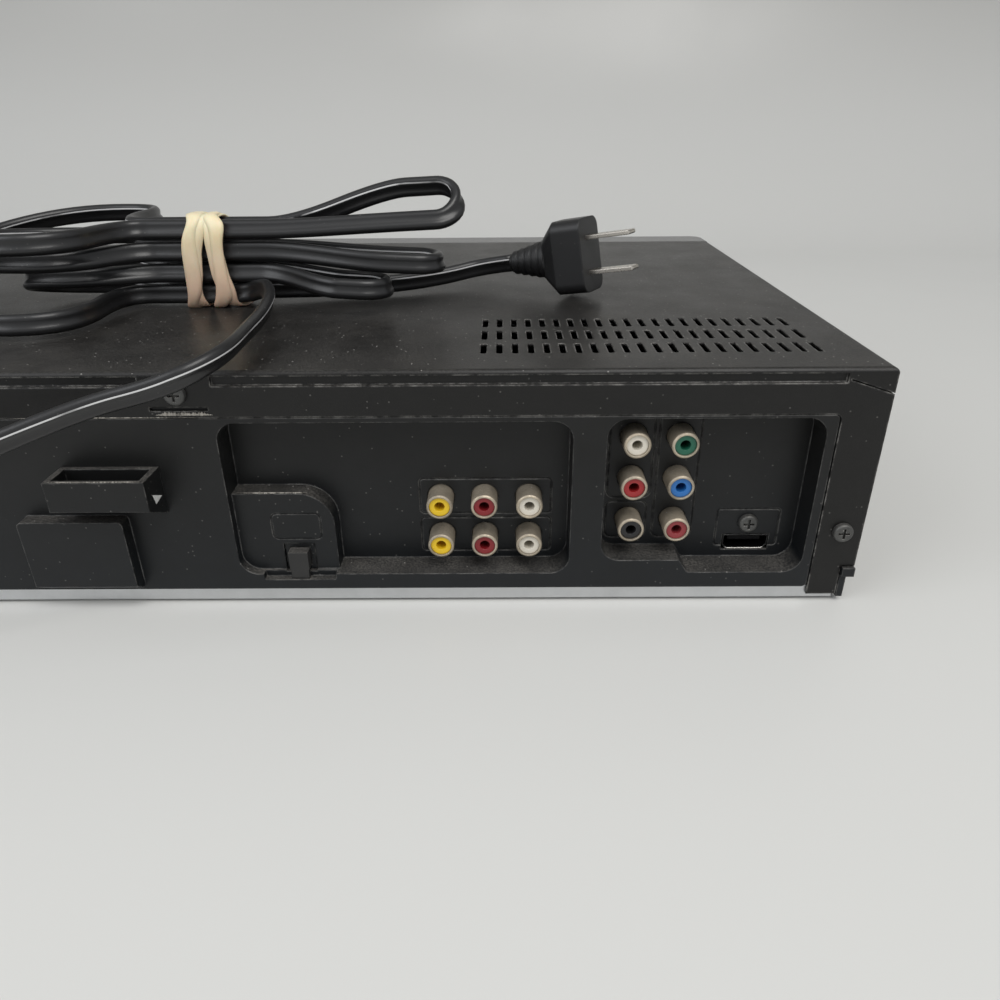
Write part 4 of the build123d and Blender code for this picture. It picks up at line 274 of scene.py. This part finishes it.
def finish(name, colour, roughness, metallic=0.0, grain=2200.0, height=0.00002, spread=0.12,
           dust=0.0, specks=0.0, wear_and_highlight=0.0, worn_lit_colour=(0.16, 0.15, 0.145, 1.0), radius=0.0005,
           coat=0.0, tint=None, mottle=0.18, gloss=0.5):
    """A material with grain, drifting tone, rounded and rubbed edges in a paler colour that is
    partly a painted edge highlight, and dust that has settled.
    """
    settings = bpy.context.scene.player_dust
    material = bpy.data.materials.new(name)
    material.use_nodes = True
    graph = Graph(material.node_tree)
    surface = material.node_tree.nodes["Principled BSDF"]
    surface.inputs["Metallic"].default_value = metallic
    surface.inputs["Coat Weight"].default_value = coat
    surface.inputs["Specular IOR Level"].default_value = gloss
    base = (*colour, 1.0) if tint is None else tint(graph)
    drift = graph.span(graph.noise(90.0, 5.0, 0.65), 0.25, 0.75, 1.0 - mottle, 1.0 + mottle)
    shade = graph.node("ShaderNodeCombineColor", {0: drift, 1: drift, 2: drift}).outputs[0]
    base = graph.mix(1.0, base, shade, "MULTIPLY")
    # Paler rubbed edges: partly real wear, partly a painted edge highlight.
    worn_lit_edges = graph.group("Worn And Highlit Edges", {"Radius": radius, "Amount": wear_and_highlight * settings.wear_and_highlight})
    base = graph.mix(worn_lit_edges["Mask"], base, worn_lit_colour)
    grains = graph.group("Grain", {"Scale": grain, "Height": height, "Rough": roughness,
                                   "Spread": spread})
    rough = grains["Roughness"]
    if dust or specks:
        settled = graph.group("Settled Dust", {"Amount": dust * settings.amount,
                                               "Specks": specks * settings.amount})
        base = graph.mix(settled["Film"], base, DUST)
        base = graph.mix(settled["Specks"], base, (0.5, 0.48, 0.45, 1.0))
        rough = graph.math("MULTIPLY_ADD", settled["Film"], 0.5, rough, clamp=True)
    graph.feed(surface.inputs["Base Color"], base)
    graph.feed(surface.inputs["Roughness"], rough)
    normals = graph.node("ShaderNodeVectorMath", {0: worn_lit_edges["Normal"], 1: grains["Normal"]})
    flat = graph.node("ShaderNodeNewGeometry").outputs["Normal"]
    vectors = {0: normals.outputs[0], 1: flat}
    lean = graph.node("ShaderNodeVectorMath", vectors, operation="SUBTRACT")
    level = graph.node("ShaderNodeVectorMath", {0: lean.outputs[0]}, operation="NORMALIZE")
    graph.feed(surface.inputs["Normal"], level.outputs[0])
    return material


def core_tint(graph):
    """The colour of each socket's core, by where it stands."""
    base = (0.62, 0.58, 0.50, 1.0)
    yellow, maroon = (0.75, 0.50, 0.015, 1.0), (0.20, 0.012, 0.016, 1.0)
    red, green, blue = (0.30, 0.018, 0.02, 1.0), (0.012, 0.10, 0.06, 1.0), (0.02, 0.14, 0.42, 1.0)
    places = ((132.7, 26.0, 16.0, yellow), (118.7, 26.0, 16.0, maroon), (72.2, 39.2, 6.0, red),
              (72.2, 24.4, 6.0, (0.012, 0.012, 0.013, 1.0)), (57.7, 53.4, 6.0, green),
              (57.7, 39.2, 6.0, blue), (57.7, 24.4, 6.0, (0.24, 0.03, 0.035, 1.0)))
    for across, high, half, colour in places:
        values = {"X": (across - EDGE) * MM, "Half X": 0.0055, "Z": (high + BASE) * MM,
                  "Half Z": half * MM}
        base = graph.mix(graph.group("Place", values)["Mask"], base, colour)
    return base


def paint_inner_shade(graph, colour, limit):
    """A colour that turns black further in than a limit along Y, in metres: painted shade deep
    inside the socket.
    """
    depth = graph.axes(graph.place())["Y"]
    inside = graph.math("LESS_THAN", depth, limit)
    return graph.mix(inside, colour, (0.006, 0.006, 0.007, 1.0))


def panel_tint(graph):
    """Brownish black that turns blue towards the underside."""
    rise = graph.span(graph.axes(graph.place())["Z"], 0.006, 0.055)
    return graph.mix(rise, (0.0066, 0.0078, 0.0092, 1.0), (0.0068, 0.0068, 0.0066, 1.0))


def sleeve_painted_light(graph):
    """A painted highlight along its lowest edge alone, painted shade over the rest of the sleeve,
    and black painted shade further in.
    """
    # Painted highlight below this height, painted shade above it.
    low = graph.math("LESS_THAN", graph.axes(graph.place())["Z"], SLEEVE_HIGHLIGHT_Z * MM)
    lit_and_shaded_shell = graph.mix(low, (0.03, 0.03, 0.03, 1.0), (0.60, 0.58, 0.54, 1.0))
    return paint_inner_shade(graph, lit_and_shaded_shell, (FLOOR_FACE - 0.25) * MM)


def board_tint(graph):
    """Lacquer over copper tracks."""
    wave = graph.node("ShaderNodeTexWave", {"Scale": 160.0, "Distortion": 9.0, "Detail": 1.0,
                                            "Vector": graph.place()})
    tracks = graph.span(wave.outputs["Fac"], 0.55, 0.62)
    return graph.mix(tracks, (0.015, 0.085, 0.035, 1.0), (0.035, 0.15, 0.06, 1.0))


def finishes():
    """Every finish with the solid nodes that wear it."""
    zinc = dict(metallic=1.0, grain=900.0, height=0.000004, spread=0.16, mottle=0.08, wear_and_highlight=0.3,
                worn_lit_colour=(0.75, 0.75, 0.74, 1.0))
    plastic = dict(grain=3200.0, height=0.000016, wear_and_highlight=0.25, radius=0.0004)
    return (
        (finish("Cover paint", (0.0075, 0.0072, 0.0068), 0.34, grain=1900.0, height=0.00004,
                spread=0.2, dust=0.14, specks=0.5, wear_and_highlight=0.9, radius=0.0009, gloss=0.3,
                worn_lit_colour=(0.30, 0.29, 0.27, 1.0)), ("top_cover",)),
        (finish("Black screw", (0.075, 0.075, 0.072), 0.42, metallic=0.5, grain=1500.0, dust=0.5,
                specks=1.6, wear_and_highlight=1.0, radius=0.0003, mottle=0.5,
                worn_lit_colour=(0.40, 0.39, 0.37, 1.0)), ("case_screws",)),
        (finish("Zinc sheet", (0.60, 0.61, 0.62), 0.34, **zinc),
         ("bottom_plate", "clamp_bridge", "deck_plate", "carriage_slider", "cassette_holder",
          "rf_module")),
        (finish("Panel moulding", (0.0068, 0.0072, 0.0082), 0.42, grain=2600.0, height=0.000022,
                dust=0.45, specks=0.5, wear_and_highlight=0.9, radius=0.0007, gloss=0.33,
                worn_lit_colour=(0.15, 0.148, 0.14, 1.0), tint=panel_tint),
         ("rear_panel", "cord_hook", "jack_housings", "optical_socket")),
        (finish("Bush moulding", (0.012, 0.012, 0.012), 0.5, dust=0.1, **plastic),
         ("strain_relief",)),
        (finish("Frame moulding", (0.018, 0.018, 0.019), 0.55, dust=0.06, **plastic),
         ("chassis_frame", "loader_frame", "disc_tray", "traverse_frame", "pickup_sled")),
        (finish("Dusty cap", (0.016, 0.0155, 0.015), 0.6, dust=0.5, specks=0.5, **plastic),
         ("optical_cap",)),
        (finish("Front moulding", (0.012, 0.012, 0.014), 0.2, grain=500.0, height=0.000002,
                spread=0.05, dust=0.04, coat=0.25, radius=0.0012, wear_and_highlight=0.2),
         ("front_bezel", "cassette_flap")),
        (finish("Smoked window", (0.004, 0.004, 0.006), 0.08, grain=300.0, height=0.000001,
                spread=0.03, coat=0.6), ("display_window",)),
        (finish("Button satin", (0.14, 0.145, 0.15), 0.36, metallic=0.3, grain=2800.0,
                height=0.000006, radius=0.0005),
         ("button_power", "button_disc_eject", "button_tape_eject", "button_rewind",
          "button_stop", "button_play", "button_forward")),
        (finish("Dull nickel", (0.40, 0.345, 0.265), 0.46, metallic=0.6, grain=1500.0,
                height=0.00002, spread=0.3, wear_and_highlight=0.8, worn_lit_colour=(0.70, 0.67, 0.60, 1.0), mottle=0.5,
                radius=0.0003, dust=0.55, specks=1.0), ("rca_shells",)),
        (finish("Blade nickel", (0.60, 0.56, 0.50), 0.28, metallic=1.0, grain=600.0,
                height=0.000004, spread=0.2, mottle=0.15, wear_and_highlight=0.6,
                worn_lit_colour=(0.8, 0.78, 0.74, 1.0)), ("plug_blades",)),
        # The sleeve's colour carries a painted highlight and painted shade.
        (finish("Socket sleeve", (0.5, 0.5, 0.5), 0.3, metallic=0.7, tint=sleeve_painted_light),
         ("hdmi_socket",)),
        (finish("Socket cores", (0.6, 0.58, 0.5), 0.34, grain=900.0, tint=core_tint, mottle=0.1),
         ("rca_inserts",)),
        (finish("Natural resin", (0.60, 0.58, 0.52), 0.4, **plastic),
         ("tray_gear", "cam_gear", "clamp_puck", "turntable", "reel_supply", "reel_takeup")),
        (finish("Drawn can", (0.50, 0.50, 0.51), 0.3, **zinc), ("tray_motor", "deck_fittings")),
        (finish("Matt rubber", (0.013, 0.013, 0.013), 0.72, grain=1800.0, height=0.00003,
                dust=0.1), ("tray_belt", "pinch_roller", "feet")),
        (finish("Laminate", (0.02, 0.1, 0.04), 0.3, tint=board_tint, grain=500.0),
         ("main_board", "digital_board", "power_board", "key_board")),
        (finish("Part sleeve", (0.02, 0.022, 0.05), 0.35, coat=0.3), ("power_parts",)),
        (finish("Polished alloy", (0.80, 0.80, 0.81), 0.16, metallic=1.0, grain=400.0,
                height=0.000002), ("drum_lower", "drum_upper", "guide_post_left",
                                   "guide_post_right")),
        (finish("Ground steel", (0.56, 0.56, 0.56), 0.22, metallic=1.0), ("capstan", "pinch_arm")),
        (finish("Plug moulding", (0.0095, 0.0095, 0.01), 0.4, grain=2400.0, height=0.00002,
                wear_and_highlight=0.3, radius=0.0009, worn_lit_colour=(0.07, 0.07, 0.07, 1.0), specks=0.2),
         ("plug_body",)),
    )


def apply_finishes(nodes):
    for material, names in finishes():
        for name in names:
            node = nodes[name]
            node.data.materials.clear()
            node.data.materials.append(material)


# ---------------------------------------------------------------- mesh pieces
def mesh_object(name, points, faces, material, body="chassis"):
    mesh = bpy.data.meshes.new(name)
    mesh.from_pydata([tuple(point) for point in points], [], faces)
    mesh.materials.append(material)
    thing = bpy.data.objects.new(name, mesh)
    bpy.context.scene.collection.objects.link(thing)
    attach(thing, body)
    return thing


def smooth(thing):
    for face in thing.data.polygons:
        face.use_smooth = True


def quads(rings, around, closed_rings=False):
    """Faces between neighbouring rings of points."""
    faces = []
    last = rings if closed_rings else rings - 1
    for i in range(last):
        low, high = i * around, (i + 1) % rings * around
        for j in range(around):
            k = (j + 1) % around
            faces.append((low + j, low + k, high + k, high + j))
    return faces


# ---------------------------------------------------------------- cord
def on_cover(x, v, h):
    """A point across, in from the rear face, and above the cover, in millimetres."""
    return Vector((x, REAR - v, TOP + h))


def row_height(row):
    return FIRST_ROW + HANK_PITCH * row


def waist(near, row, side):
    column = HANK_PITCH / 2 if near else -HANK_PITCH / 2
    return on_cover(HANK_X + side * WAIST, HANK_V - column, row_height(row))


def round_turn(start, end, outward, radius):
    """The route's points round half a turn, from start to end."""
    centre, half = (start + end) / 2, (start - end) / 2
    points = []
    for angle in (67.5, 22.5, -22.5, -67.5):
        a = math.radians(angle)
        reach = outward * radius * math.cos(a) + half * math.sin(a)
        points.append(centre + reach / math.cos(math.radians(22.5)))
    return points


def swing(start, heading, end, arrival):
    """Two points that carry the route from start to a line through end along its arrival."""
    gap = end - start
    reach = gap.length_squared / (4 * max(gap.dot(heading), 1.0))
    return [start + heading * reach, end - arrival * reach]


def open_loop(k):
    """A wide loop on the deck's side, from its near strand in the band to its far one."""
    out = Vector((1, 0, 0))
    radius = LEFT_RADIUS + LEFT_RADIUS_STEP * k
    near, far = waist(True, (k + 1) % LEFT_LOOPS, 1), waist(False, k, 1)
    x = HANK_X + LEFT_START
    start = on_cover(x, HANK_V - radius, near.z - TOP)
    end = on_cover(x, HANK_V + radius, far.z - TOP)
    points = [near, *swing(near, out, start, out), *round_turn(start, end, out, radius)]
    return points + list(reversed(swing(far, out, end, out))) + [far]


def fold(k):
    """A folded loop on the plug's side, from its far strand in the band to its near one."""
    (x, v, h), tilt = FOLDS[k]
    tilt = math.radians(tilt)
    centre = on_cover(x, v, h)
    spread = Vector((0, math.cos(tilt), -math.sin(tilt)))
    outward = (centre - on_cover(HANK_X, HANK_V, row_height(k + 1))).normalized()
    outward = (outward - spread * outward.dot(spread)).normalized()
    far, near = waist(False, k + 1, -1), waist(True, k + 1, -1)
    end, start = centre + spread * FOLD_RADIUS, centre - spread * FOLD_RADIUS
    back = Vector((-1, 0, 0))
    lead = outward * FOLD_RADIUS * math.tan(math.radians(22.5))
    points = [far, *swing(far, back, start, outward), start - lead,
              *round_turn(start, end, outward, FOLD_RADIUS), end - lead]
    return points + list(reversed(swing(near, back, end, outward))) + [near]


def cord_route():
    """The whole cord, from its bush to the plug's neck."""
    route = [Vector(point) for point in (
        CORD_EXIT, (185.0, 144.5, 23.2), (171.0, 157.5, 25.2), (143.0, 162.5, 32.2),
        (102.0, 158.5, 42.2), (60.0, 150.5, 57.2), (26.0, 139.5, 69.5), (8.0, 132.0, 75.0),
        (-8.0, 130.0, 78.5), (-19.0, 128.0, 82.6), (-25.5, 119.0, 85.3), (-26.0, 104.0, 86.4),
        (-26.0, 86.0, 86.8), (-24.5, 68.0, 88.2), (-19.5, 52.0, 89.0), (-13.5, 41.0, 86.8),
        (-7.0, 36.3, 84.2))]
    for k in reversed(range(LEFT_LOOPS)):
        route += open_loop(k)
        if k:
            route += fold(k - 1)
    route += [waist(False, 0, -1), Vector((-16.0, 28.7, 84.2)), Vector((-36.0, 24.5, 83.6)),
              Vector((-58.0, 18.5, 83.6)), Vector((-78.0, 8.5, 84.4)), Vector((-95.1, 0.9, 87.3)),
              Vector((-107.0, 7.8, 89.7))]
    return [point * MM for point in route]


def smooth_line(route):
    """The points of a smooth line through the route's bends."""
    curve = bpy.data.curves.new("Cord route", "CURVE")
    curve.dimensions = "3D"
    spline = curve.splines.new("NURBS")
    spline.points.add(len(route) - 1)
    for point, place in zip(spline.points, route):
        point.co = (*place, 1.0)
    spline.order_u = 3
    spline.use_endpoint_u = True
    spline.resolution_u = 8
    thing = bpy.data.objects.new("Cord route", curve)
    bpy.context.scene.collection.objects.link(thing)
    mesh = bpy.data.meshes.new_from_object(thing)
    points = [vertex.co.copy() for vertex in mesh.vertices]
    bpy.data.objects.remove(thing)
    bpy.data.curves.remove(curve)
    bpy.data.meshes.remove(mesh)
    kept = [points[0]]
    for point in points[1:]:
        if (point - kept[-1]).length > 0.0008:
            kept.append(point)
    return kept


def twin_profile(width):
    """Two round wires side by side with a valley between them, as (across, thick)."""
    radius = width * 0.255
    offset = width / 2 - radius
    half = [(offset + radius * math.cos(math.radians(a)), radius * math.sin(math.radians(a)))
            for a in range(-110, 111, 22)]
    valley = radius * 0.70
    other = [(-x, -y) for x, y in half]
    return half + [(0.0, valley)] + other + [(0.0, -valley)]


def sweep_cord(line, width, roll, material):
    profile = twin_profile(width * MM)
    points, travelled = [], 0.0
    for i, here in enumerate(line):
        before, after = line[max(i - 1, 0)], line[min(i + 1, len(line) - 1)]
        if i:
            travelled += (here - line[i - 1]).length
        heading = (after - before).normalized()
        side = heading.cross(Vector((0, 0, 1))).normalized()
        upright = side.cross(heading)
        angle = math.radians(roll + 11.0 * math.sin(travelled * 21.0))
        wide = side * math.cos(angle) + upright * math.sin(angle)
        thick = heading.cross(wide)
        points += [here + wide * x + thick * y for x, y in profile]
    around = len(profile)
    faces = quads(len(line), around)
    faces += [tuple(reversed(range(around))), tuple(range(len(points) - around, len(points)))]
    cord = mesh_object("free_cord", points, faces, material)
    smooth(cord)
    turns = cord.data.uv_layers.new(name="Round")
    for face in cord.data.polygons[:-2]:
        corners = [index % around for index in face.vertices]
        wraps = max(corners) - min(corners) > 1
        for loop, corner in zip(face.loop_indices, corners):
            across = around if wraps and corner == 0 else corner
            turns.data[loop].uv = (across / around, 0.0)
    return cord


def cord_material():
    """Satin vinyl with a thin pale stripe along one wire."""
    def tint(graph):
        across = graph.node("ShaderNodeUVMap", uv_map="Round").outputs[0]
        place = graph.axes(across)["X"]
        away = graph.math("ABSOLUTE", graph.math("SUBTRACT", place, STRIPE_PLACE))
        stripe = graph.math("LESS_THAN", away, STRIPE_HALF)
        faded = graph.span(graph.noise(60.0, 3.0), 0.30, 0.45)
        mask = graph.math("MULTIPLY", stripe, faded)
        return graph.mix(mask, (0.0085, 0.0085, 0.009, 1.0), (0.62, 0.62, 0.62, 1.0))
    return finish("Cord vinyl", (0.0085, 0.0085, 0.009), 0.36, grain=1300.0, height=0.000006,
                  spread=0.12, specks=0.15, tint=tint, mottle=0.1, coat=0.1)


def build_cord():
    settings = bpy.context.scene.player_cord
    line = smooth_line(cord_route())
    cord = sweep_cord(line, settings.width, settings.roll, cord_material())
    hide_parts("cord_lead", "cord_hank", "cord_tail")


# ---------------------------------------------------------------- band
def band_material():
    def tint(graph):
        # Darker and redder towards the cover: painted shade on the band's lower part.
        high = graph.span(graph.axes(graph.place())["Z"], 0.088, 0.108)
        patch = graph.span(graph.noise(120.0, 4.0), 0.35, 0.7)
        cream = graph.mix(patch, (0.74, 0.62, 0.38, 1.0), (0.80, 0.71, 0.50, 1.0))
        return graph.mix(high, (0.66, 0.47, 0.34, 1.0), cream)
    band = finish("Cream rubber", (0.7, 0.6, 0.4), 0.46, grain=900.0, height=0.00003, tint=tint,
                  mottle=0.08, specks=0.1)
    surface = band.node_tree.nodes["Principled BSDF"]
    surface.inputs["Subsurface Weight"].default_value = 0.12
    surface.inputs["Subsurface Scale"].default_value = 0.002
    return band


def wrap_points(shift, slant, phase, proud, width):
    """A flat strip once round the bundle, with its edges turned in a little."""
    centre = on_cover(HANK_X, HANK_V, row_height(1.5))
    half_y, half_z = HANK_PITCH / 2 + CORD_WIDTH / 2 + 0.4, HANK_PITCH * 1.5 + CORD_WIDTH / 2 + 0.4
    strip = ((-0.5, 0.25), (-0.47, 0.75), (-0.2, 1.0), (0.2, 1.0), (0.47, 0.75), (0.5, 0.25),
             (0.2, 0.0), (-0.2, 0.0))
    steps = 96
    points = []
    for i in range(steps):
        a = 2 * math.pi * i / steps
        c, s = math.cos(a), math.sin(a)
        y = math.copysign(abs(c) ** 0.55, c)
        z = math.copysign(abs(s) ** 0.55, s)
        across = shift + slant * math.sin(a + phase) + 0.35 * math.sin(5 * a + phase)
        squeeze = 1.0 - 0.30 * math.sin(a * 2 + phase) ** 2
        for wide, out in strip:
            grow = proud + out * 0.95
            points.append((centre + Vector((across + wide * width * squeeze,
                                            y * (half_y + grow), z * (half_z + grow)))) * MM)
    return points, steps, len(strip)


def build_band():
    wraps = ((-5.6, 3.0, 0.4, 0.0, 6.6), (-1.6, -3.9, 1.3, 0.55, 6.2), (2.2, 3.6, 2.6, 0.2, 6.6),
             (5.6, -2.9, 0.2, 0.65, 5.8))
    points, faces = [], []
    for wrap in wraps:
        ring, steps, around = wrap_points(*wrap)
        faces += [tuple(index + len(points) for index in face)
                  for face in quads(steps, around, closed_rings=True)]
        points += ring
    band = mesh_object("wrapped_band", points, faces, band_material())
    smooth(band)
    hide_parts("rubber_band")


# ---------------------------------------------------------------- small marks
def build_hook_mark():
    """A plain pale triangle that points down, on the hook's open side."""
    paint = finish("Pale mark", (0.62, 0.62, 0.6), 0.5, mottle=0.1)
    face_x, y, z = HOOK_FACE_X - 0.05, REAR + 6.5, BASE + 39.2
    front = [(face_x, y - 4.7, z + 0.7), (face_x, y + 1.2, z + 3.6), (face_x, y, z)]
    back = [(face_x + 0.2, b, c) for a, b, c in front]
    points = [tuple(value * MM for value in point) for point in front + back]
    faces = [(0, 1, 2), (5, 4, 3), (0, 3, 4, 1), (1, 4, 5, 2), (2, 5, 3, 0)]
    mark = mesh_object("hook_mark", points, faces, paint)


def dust_and_highlight_ridge(start, end, out, rise, steps, chance):
    """A low uneven ridge between two points: rings of three points, thin at its ends."""
    points = []
    for i in range(steps + 1):
        share = i / steps
        size = chance.uniform(0.35, 1.0) * min(1.0, 6 * share + 0.1, 6 * (1 - share) + 0.1)
        foot = Vector(start).lerp(Vector(end), share)
        brim = Vector((0, out * size, 0))
        crest = Vector((0, out * size / 2, rise * size))
        points += [point * MM for point in (foot, foot + brim, foot + crest)]
    return points


def build_dust_and_highlight():
    """Pale ridges on the jog's lip, the flange, the hook and the plateau: dust that has caught
    there, partly a painted highlight along these lit edges.
    """
    lines = (((-18.0, REAR - 0.05, 66.1), (-0.8, REAR - 0.05, 66.1), 0.6, 1.35, 90),
             ((-17.8, REAR - 0.05, 65.35), (44.0, REAR - 0.05, 65.35), 0.25, 0.32, 200),
             ((1.6, REAR + 10.5, 49.75), (30.9, REAR + 10.5, 49.75), 0.95, 0.35, 120),
             ((-18.6, REAR - 4.6, 38.55), (-41.0, REAR - 4.6, 38.55), 1.0, 0.35, 90))
    chance = random.Random(7)
    points, faces = [], []
    for start, end, out, rise, steps in lines:
        ridge = dust_and_highlight_ridge(start, end, out, rise, steps, chance)
        faces += [tuple(index + len(points) for index in face) for face in quads(steps + 1, 3)]
        faces += [(len(points) + 2, len(points) + 1, len(points))]
        points += ridge
        faces += [(len(points) - 3, len(points) - 2, len(points) - 1)]
    # Pale colour, partly real dust and partly a painted highlight on lit edges.
    mesh_object("caught_dust_and_highlight", points, faces,
                finish("Caught dust and highlight", (0.34, 0.32, 0.285), 0.85, grain=1200.0, height=0.00005,
                       mottle=0.6, gloss=0.2))


# ---------------------------------------------------------------- studio
def build_camera():
    pitch, yaw, roll = (math.radians(a) for a in (CAMERA_PITCH, CAMERA_YAW, CAMERA_ROLL))
    forward = Vector((-math.sin(yaw) * math.cos(pitch), -math.cos(yaw) * math.cos(pitch),
                      -math.sin(pitch)))
    level = Vector((-math.cos(yaw), math.sin(yaw), 0.0))
    above = level.cross(forward)
    right = level * math.cos(roll) + above * math.sin(roll)
    above = right.cross(forward)
    data = bpy.data.cameras.new("Photo camera")
    data.sensor_width = 36.0
    data.lens = CAMERA_LENS
    data.clip_start = 0.01
    camera = bpy.data.objects.new("Photo camera", data)
    bpy.context.scene.collection.objects.link(camera)
    turn = Matrix((right, above, -forward)).transposed()
    camera.matrix_world = Matrix.Translation(CAMERA_PLACE) @ turn.to_4x4()
    bpy.context.scene.camera = camera


def stage_material():
    """A pale satin table that turns into a grey wall, darker with height: painted shade for the
    lamps' falloff.
    """
    material = bpy.data.materials.new("Studio sweep")
    material.use_nodes = True
    graph = Graph(material.node_tree)
    surface = material.node_tree.nodes["Principled BSDF"]
    # Darker with height: painted shade for the falloff of the lamps.
    rise = graph.span(graph.axes(graph.place())["Z"], 0.0, 0.45)
    tone = graph.mix(rise, (0.63, 0.63, 0.61, 1.0), SHADED_BACKDROP)
    graph.feed(surface.inputs["Base Color"], tone)
    rough = graph.span(graph.noise(6.0, 3.0), 0.3, 0.7, 0.30, 0.40)
    graph.feed(surface.inputs["Roughness"], rough)
    return material


def build_stage():
    """A floor that bends up into a wall behind the object."""
    line = [(STAGE_REACH, 0.0), (WALL_FOOT_Y, 0.0)]
    for step in range(1, 13):
        a = math.radians(90 * step / 12)
        line.append((WALL_FOOT_Y - WALL_BEND * math.sin(a), WALL_BEND * (1 - math.cos(a))))
    line.append((WALL_FOOT_Y - WALL_BEND, STAGE_REACH))
    points = [(x, y, z) for y, z in line for x in (-STAGE_REACH, STAGE_REACH)]
    faces = [(2 * i, 2 * i + 1, 2 * i + 3, 2 * i + 2) for i in range(len(line) - 1)]
    mesh = bpy.data.meshes.new("Studio sweep")
    mesh.from_pydata(points, [], faces)
    mesh.materials.append(stage_material())
    sweep = bpy.data.objects.new("Studio sweep", mesh)
    bpy.context.scene.collection.objects.link(sweep)
    smooth(sweep)


def add_lamp(name, place, target, size, power, colour):
    data = bpy.data.lights.new(name, "AREA")
    data.size = size
    data.energy = power
    data.color = colour
    lamp = bpy.data.objects.new(name, data)
    lamp.location = place
    aim = Vector(target) - Vector(place)
    lamp.rotation_euler = aim.to_track_quat("-Z", "Y").to_euler()
    bpy.context.scene.collection.objects.link(lamp)


def build_light():
    settings = bpy.context.scene.player_studio
    add_lamp("Key", (-0.5, 0.9, 1.5), (0.0, 0.0, 0.05), 1.1, settings.key, (1.0, 0.985, 0.96))
    add_lamp("Fill", (0.9, 0.7, 0.8), (0.0, 0.1, 0.05), 0.9, settings.key * 0.3, (0.95, 0.97, 1.0))
    world = bpy.data.worlds.new("Studio")
    bpy.context.scene.world = world
    world.use_nodes = True
    graph = Graph(world.node_tree)
    seen = graph.node("ShaderNodeLightPath").outputs["Is Camera Ray"]
    # The camera sees the wall's painted-shade grey; other rays get the pale light.
    tone = graph.mix(seen, (0.95, 0.97, 1.0, 1.0), SHADED_BACKDROP)
    background = world.node_tree.nodes["Background"]
    graph.feed(background.inputs["Color"], tone)
    background.inputs["Strength"].default_value = settings.world


# ---------------------------------------------------------------- operators
class PLAYER_OT_studio(bpy.types.Operator):
    """Place the camera, the table, the wall and the lamps"""

    bl_idname = "player.studio"
    bl_label = "Studio"

    def execute(self, context):
        context.scene.view_settings.view_transform = "Standard"
        build_camera()
        build_stage()
        build_light()
        return {"FINISHED"}


class PLAYER_OT_finishes(bpy.types.Operator):
    """Give every solid node its finish"""

    bl_idname = "player.finishes"
    bl_label = "Finishes"

    def execute(self, context):
        apply_finishes(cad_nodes())
        return {"FINISHED"}


class PLAYER_OT_band(bpy.types.Operator):
    """Wrap the rubber band round the bundle"""

    bl_idname = "player.band"
    bl_label = "Band"

    def execute(self, context):
        build_band()
        return {"FINISHED"}


class PLAYER_OT_cord(bpy.types.Operator):
    """Lay the mains cord from its bush to its plug"""

    bl_idname = "player.cord"
    bl_label = "Cord"

    def execute(self, context):
        build_cord()
        return {"FINISHED"}


class PLAYER_OT_marks(bpy.types.Operator):
    """Add the small painted mark and the caught dust, partly a painted edge highlight"""

    bl_idname = "player.marks"
    bl_label = "Marks"

    def execute(self, context):
        build_hook_mark()
        build_dust_and_highlight()
        return {"FINISHED"}


class PLAYER_PT_panel(bpy.types.Panel):
    bl_idname = "PLAYER_PT_panel"
    bl_label = "Player"
    bl_space_type = "VIEW_3D"
    bl_region_type = "UI"
    bl_category = "Player"

    def draw(self, context):
        for operator in OPERATORS:
            self.layout.operator(operator.bl_idname)
        for group in ("player_cord", "player_dust", "player_studio"):
            settings = getattr(context.scene, group)
            for key in settings.bl_rna.properties.keys():
                if key not in {"rna_type", "name"}:
                    self.layout.prop(settings, key)


OPERATORS = (PLAYER_OT_studio, PLAYER_OT_finishes, PLAYER_OT_band, PLAYER_OT_cord,
             PLAYER_OT_marks)
SETTINGS = (("player_cord", PlayerCordSettings), ("player_dust", PlayerDustSettings),
            ("player_studio", PlayerStudioSettings))
FRAME = {}


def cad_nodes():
    """The solid nodes' objects by name."""
    return FRAME["nodes"]


def register():
    for key, group in SETTINGS:
        bpy.utils.register_class(group)
        setattr(bpy.types.Scene, key, bpy.props.PointerProperty(type=group))
    for item in (*OPERATORS, PLAYER_PT_panel):
        bpy.utils.register_class(item)


def unregister():
    for item in reversed((*OPERATORS, PLAYER_PT_panel)):
        bpy.utils.unregister_class(item)
    for key, group in reversed(SETTINGS):
        delattr(bpy.types.Scene, key)
        bpy.utils.unregister_class(group)


def main():
    register()
    FRAME.update(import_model())
    make_groups()
    bpy.ops.player.studio()
    bpy.ops.player.band()
    bpy.ops.player.cord()
    bpy.ops.player.finishes()
    bpy.ops.player.marks()


if __name__ == "__main__":
    main()
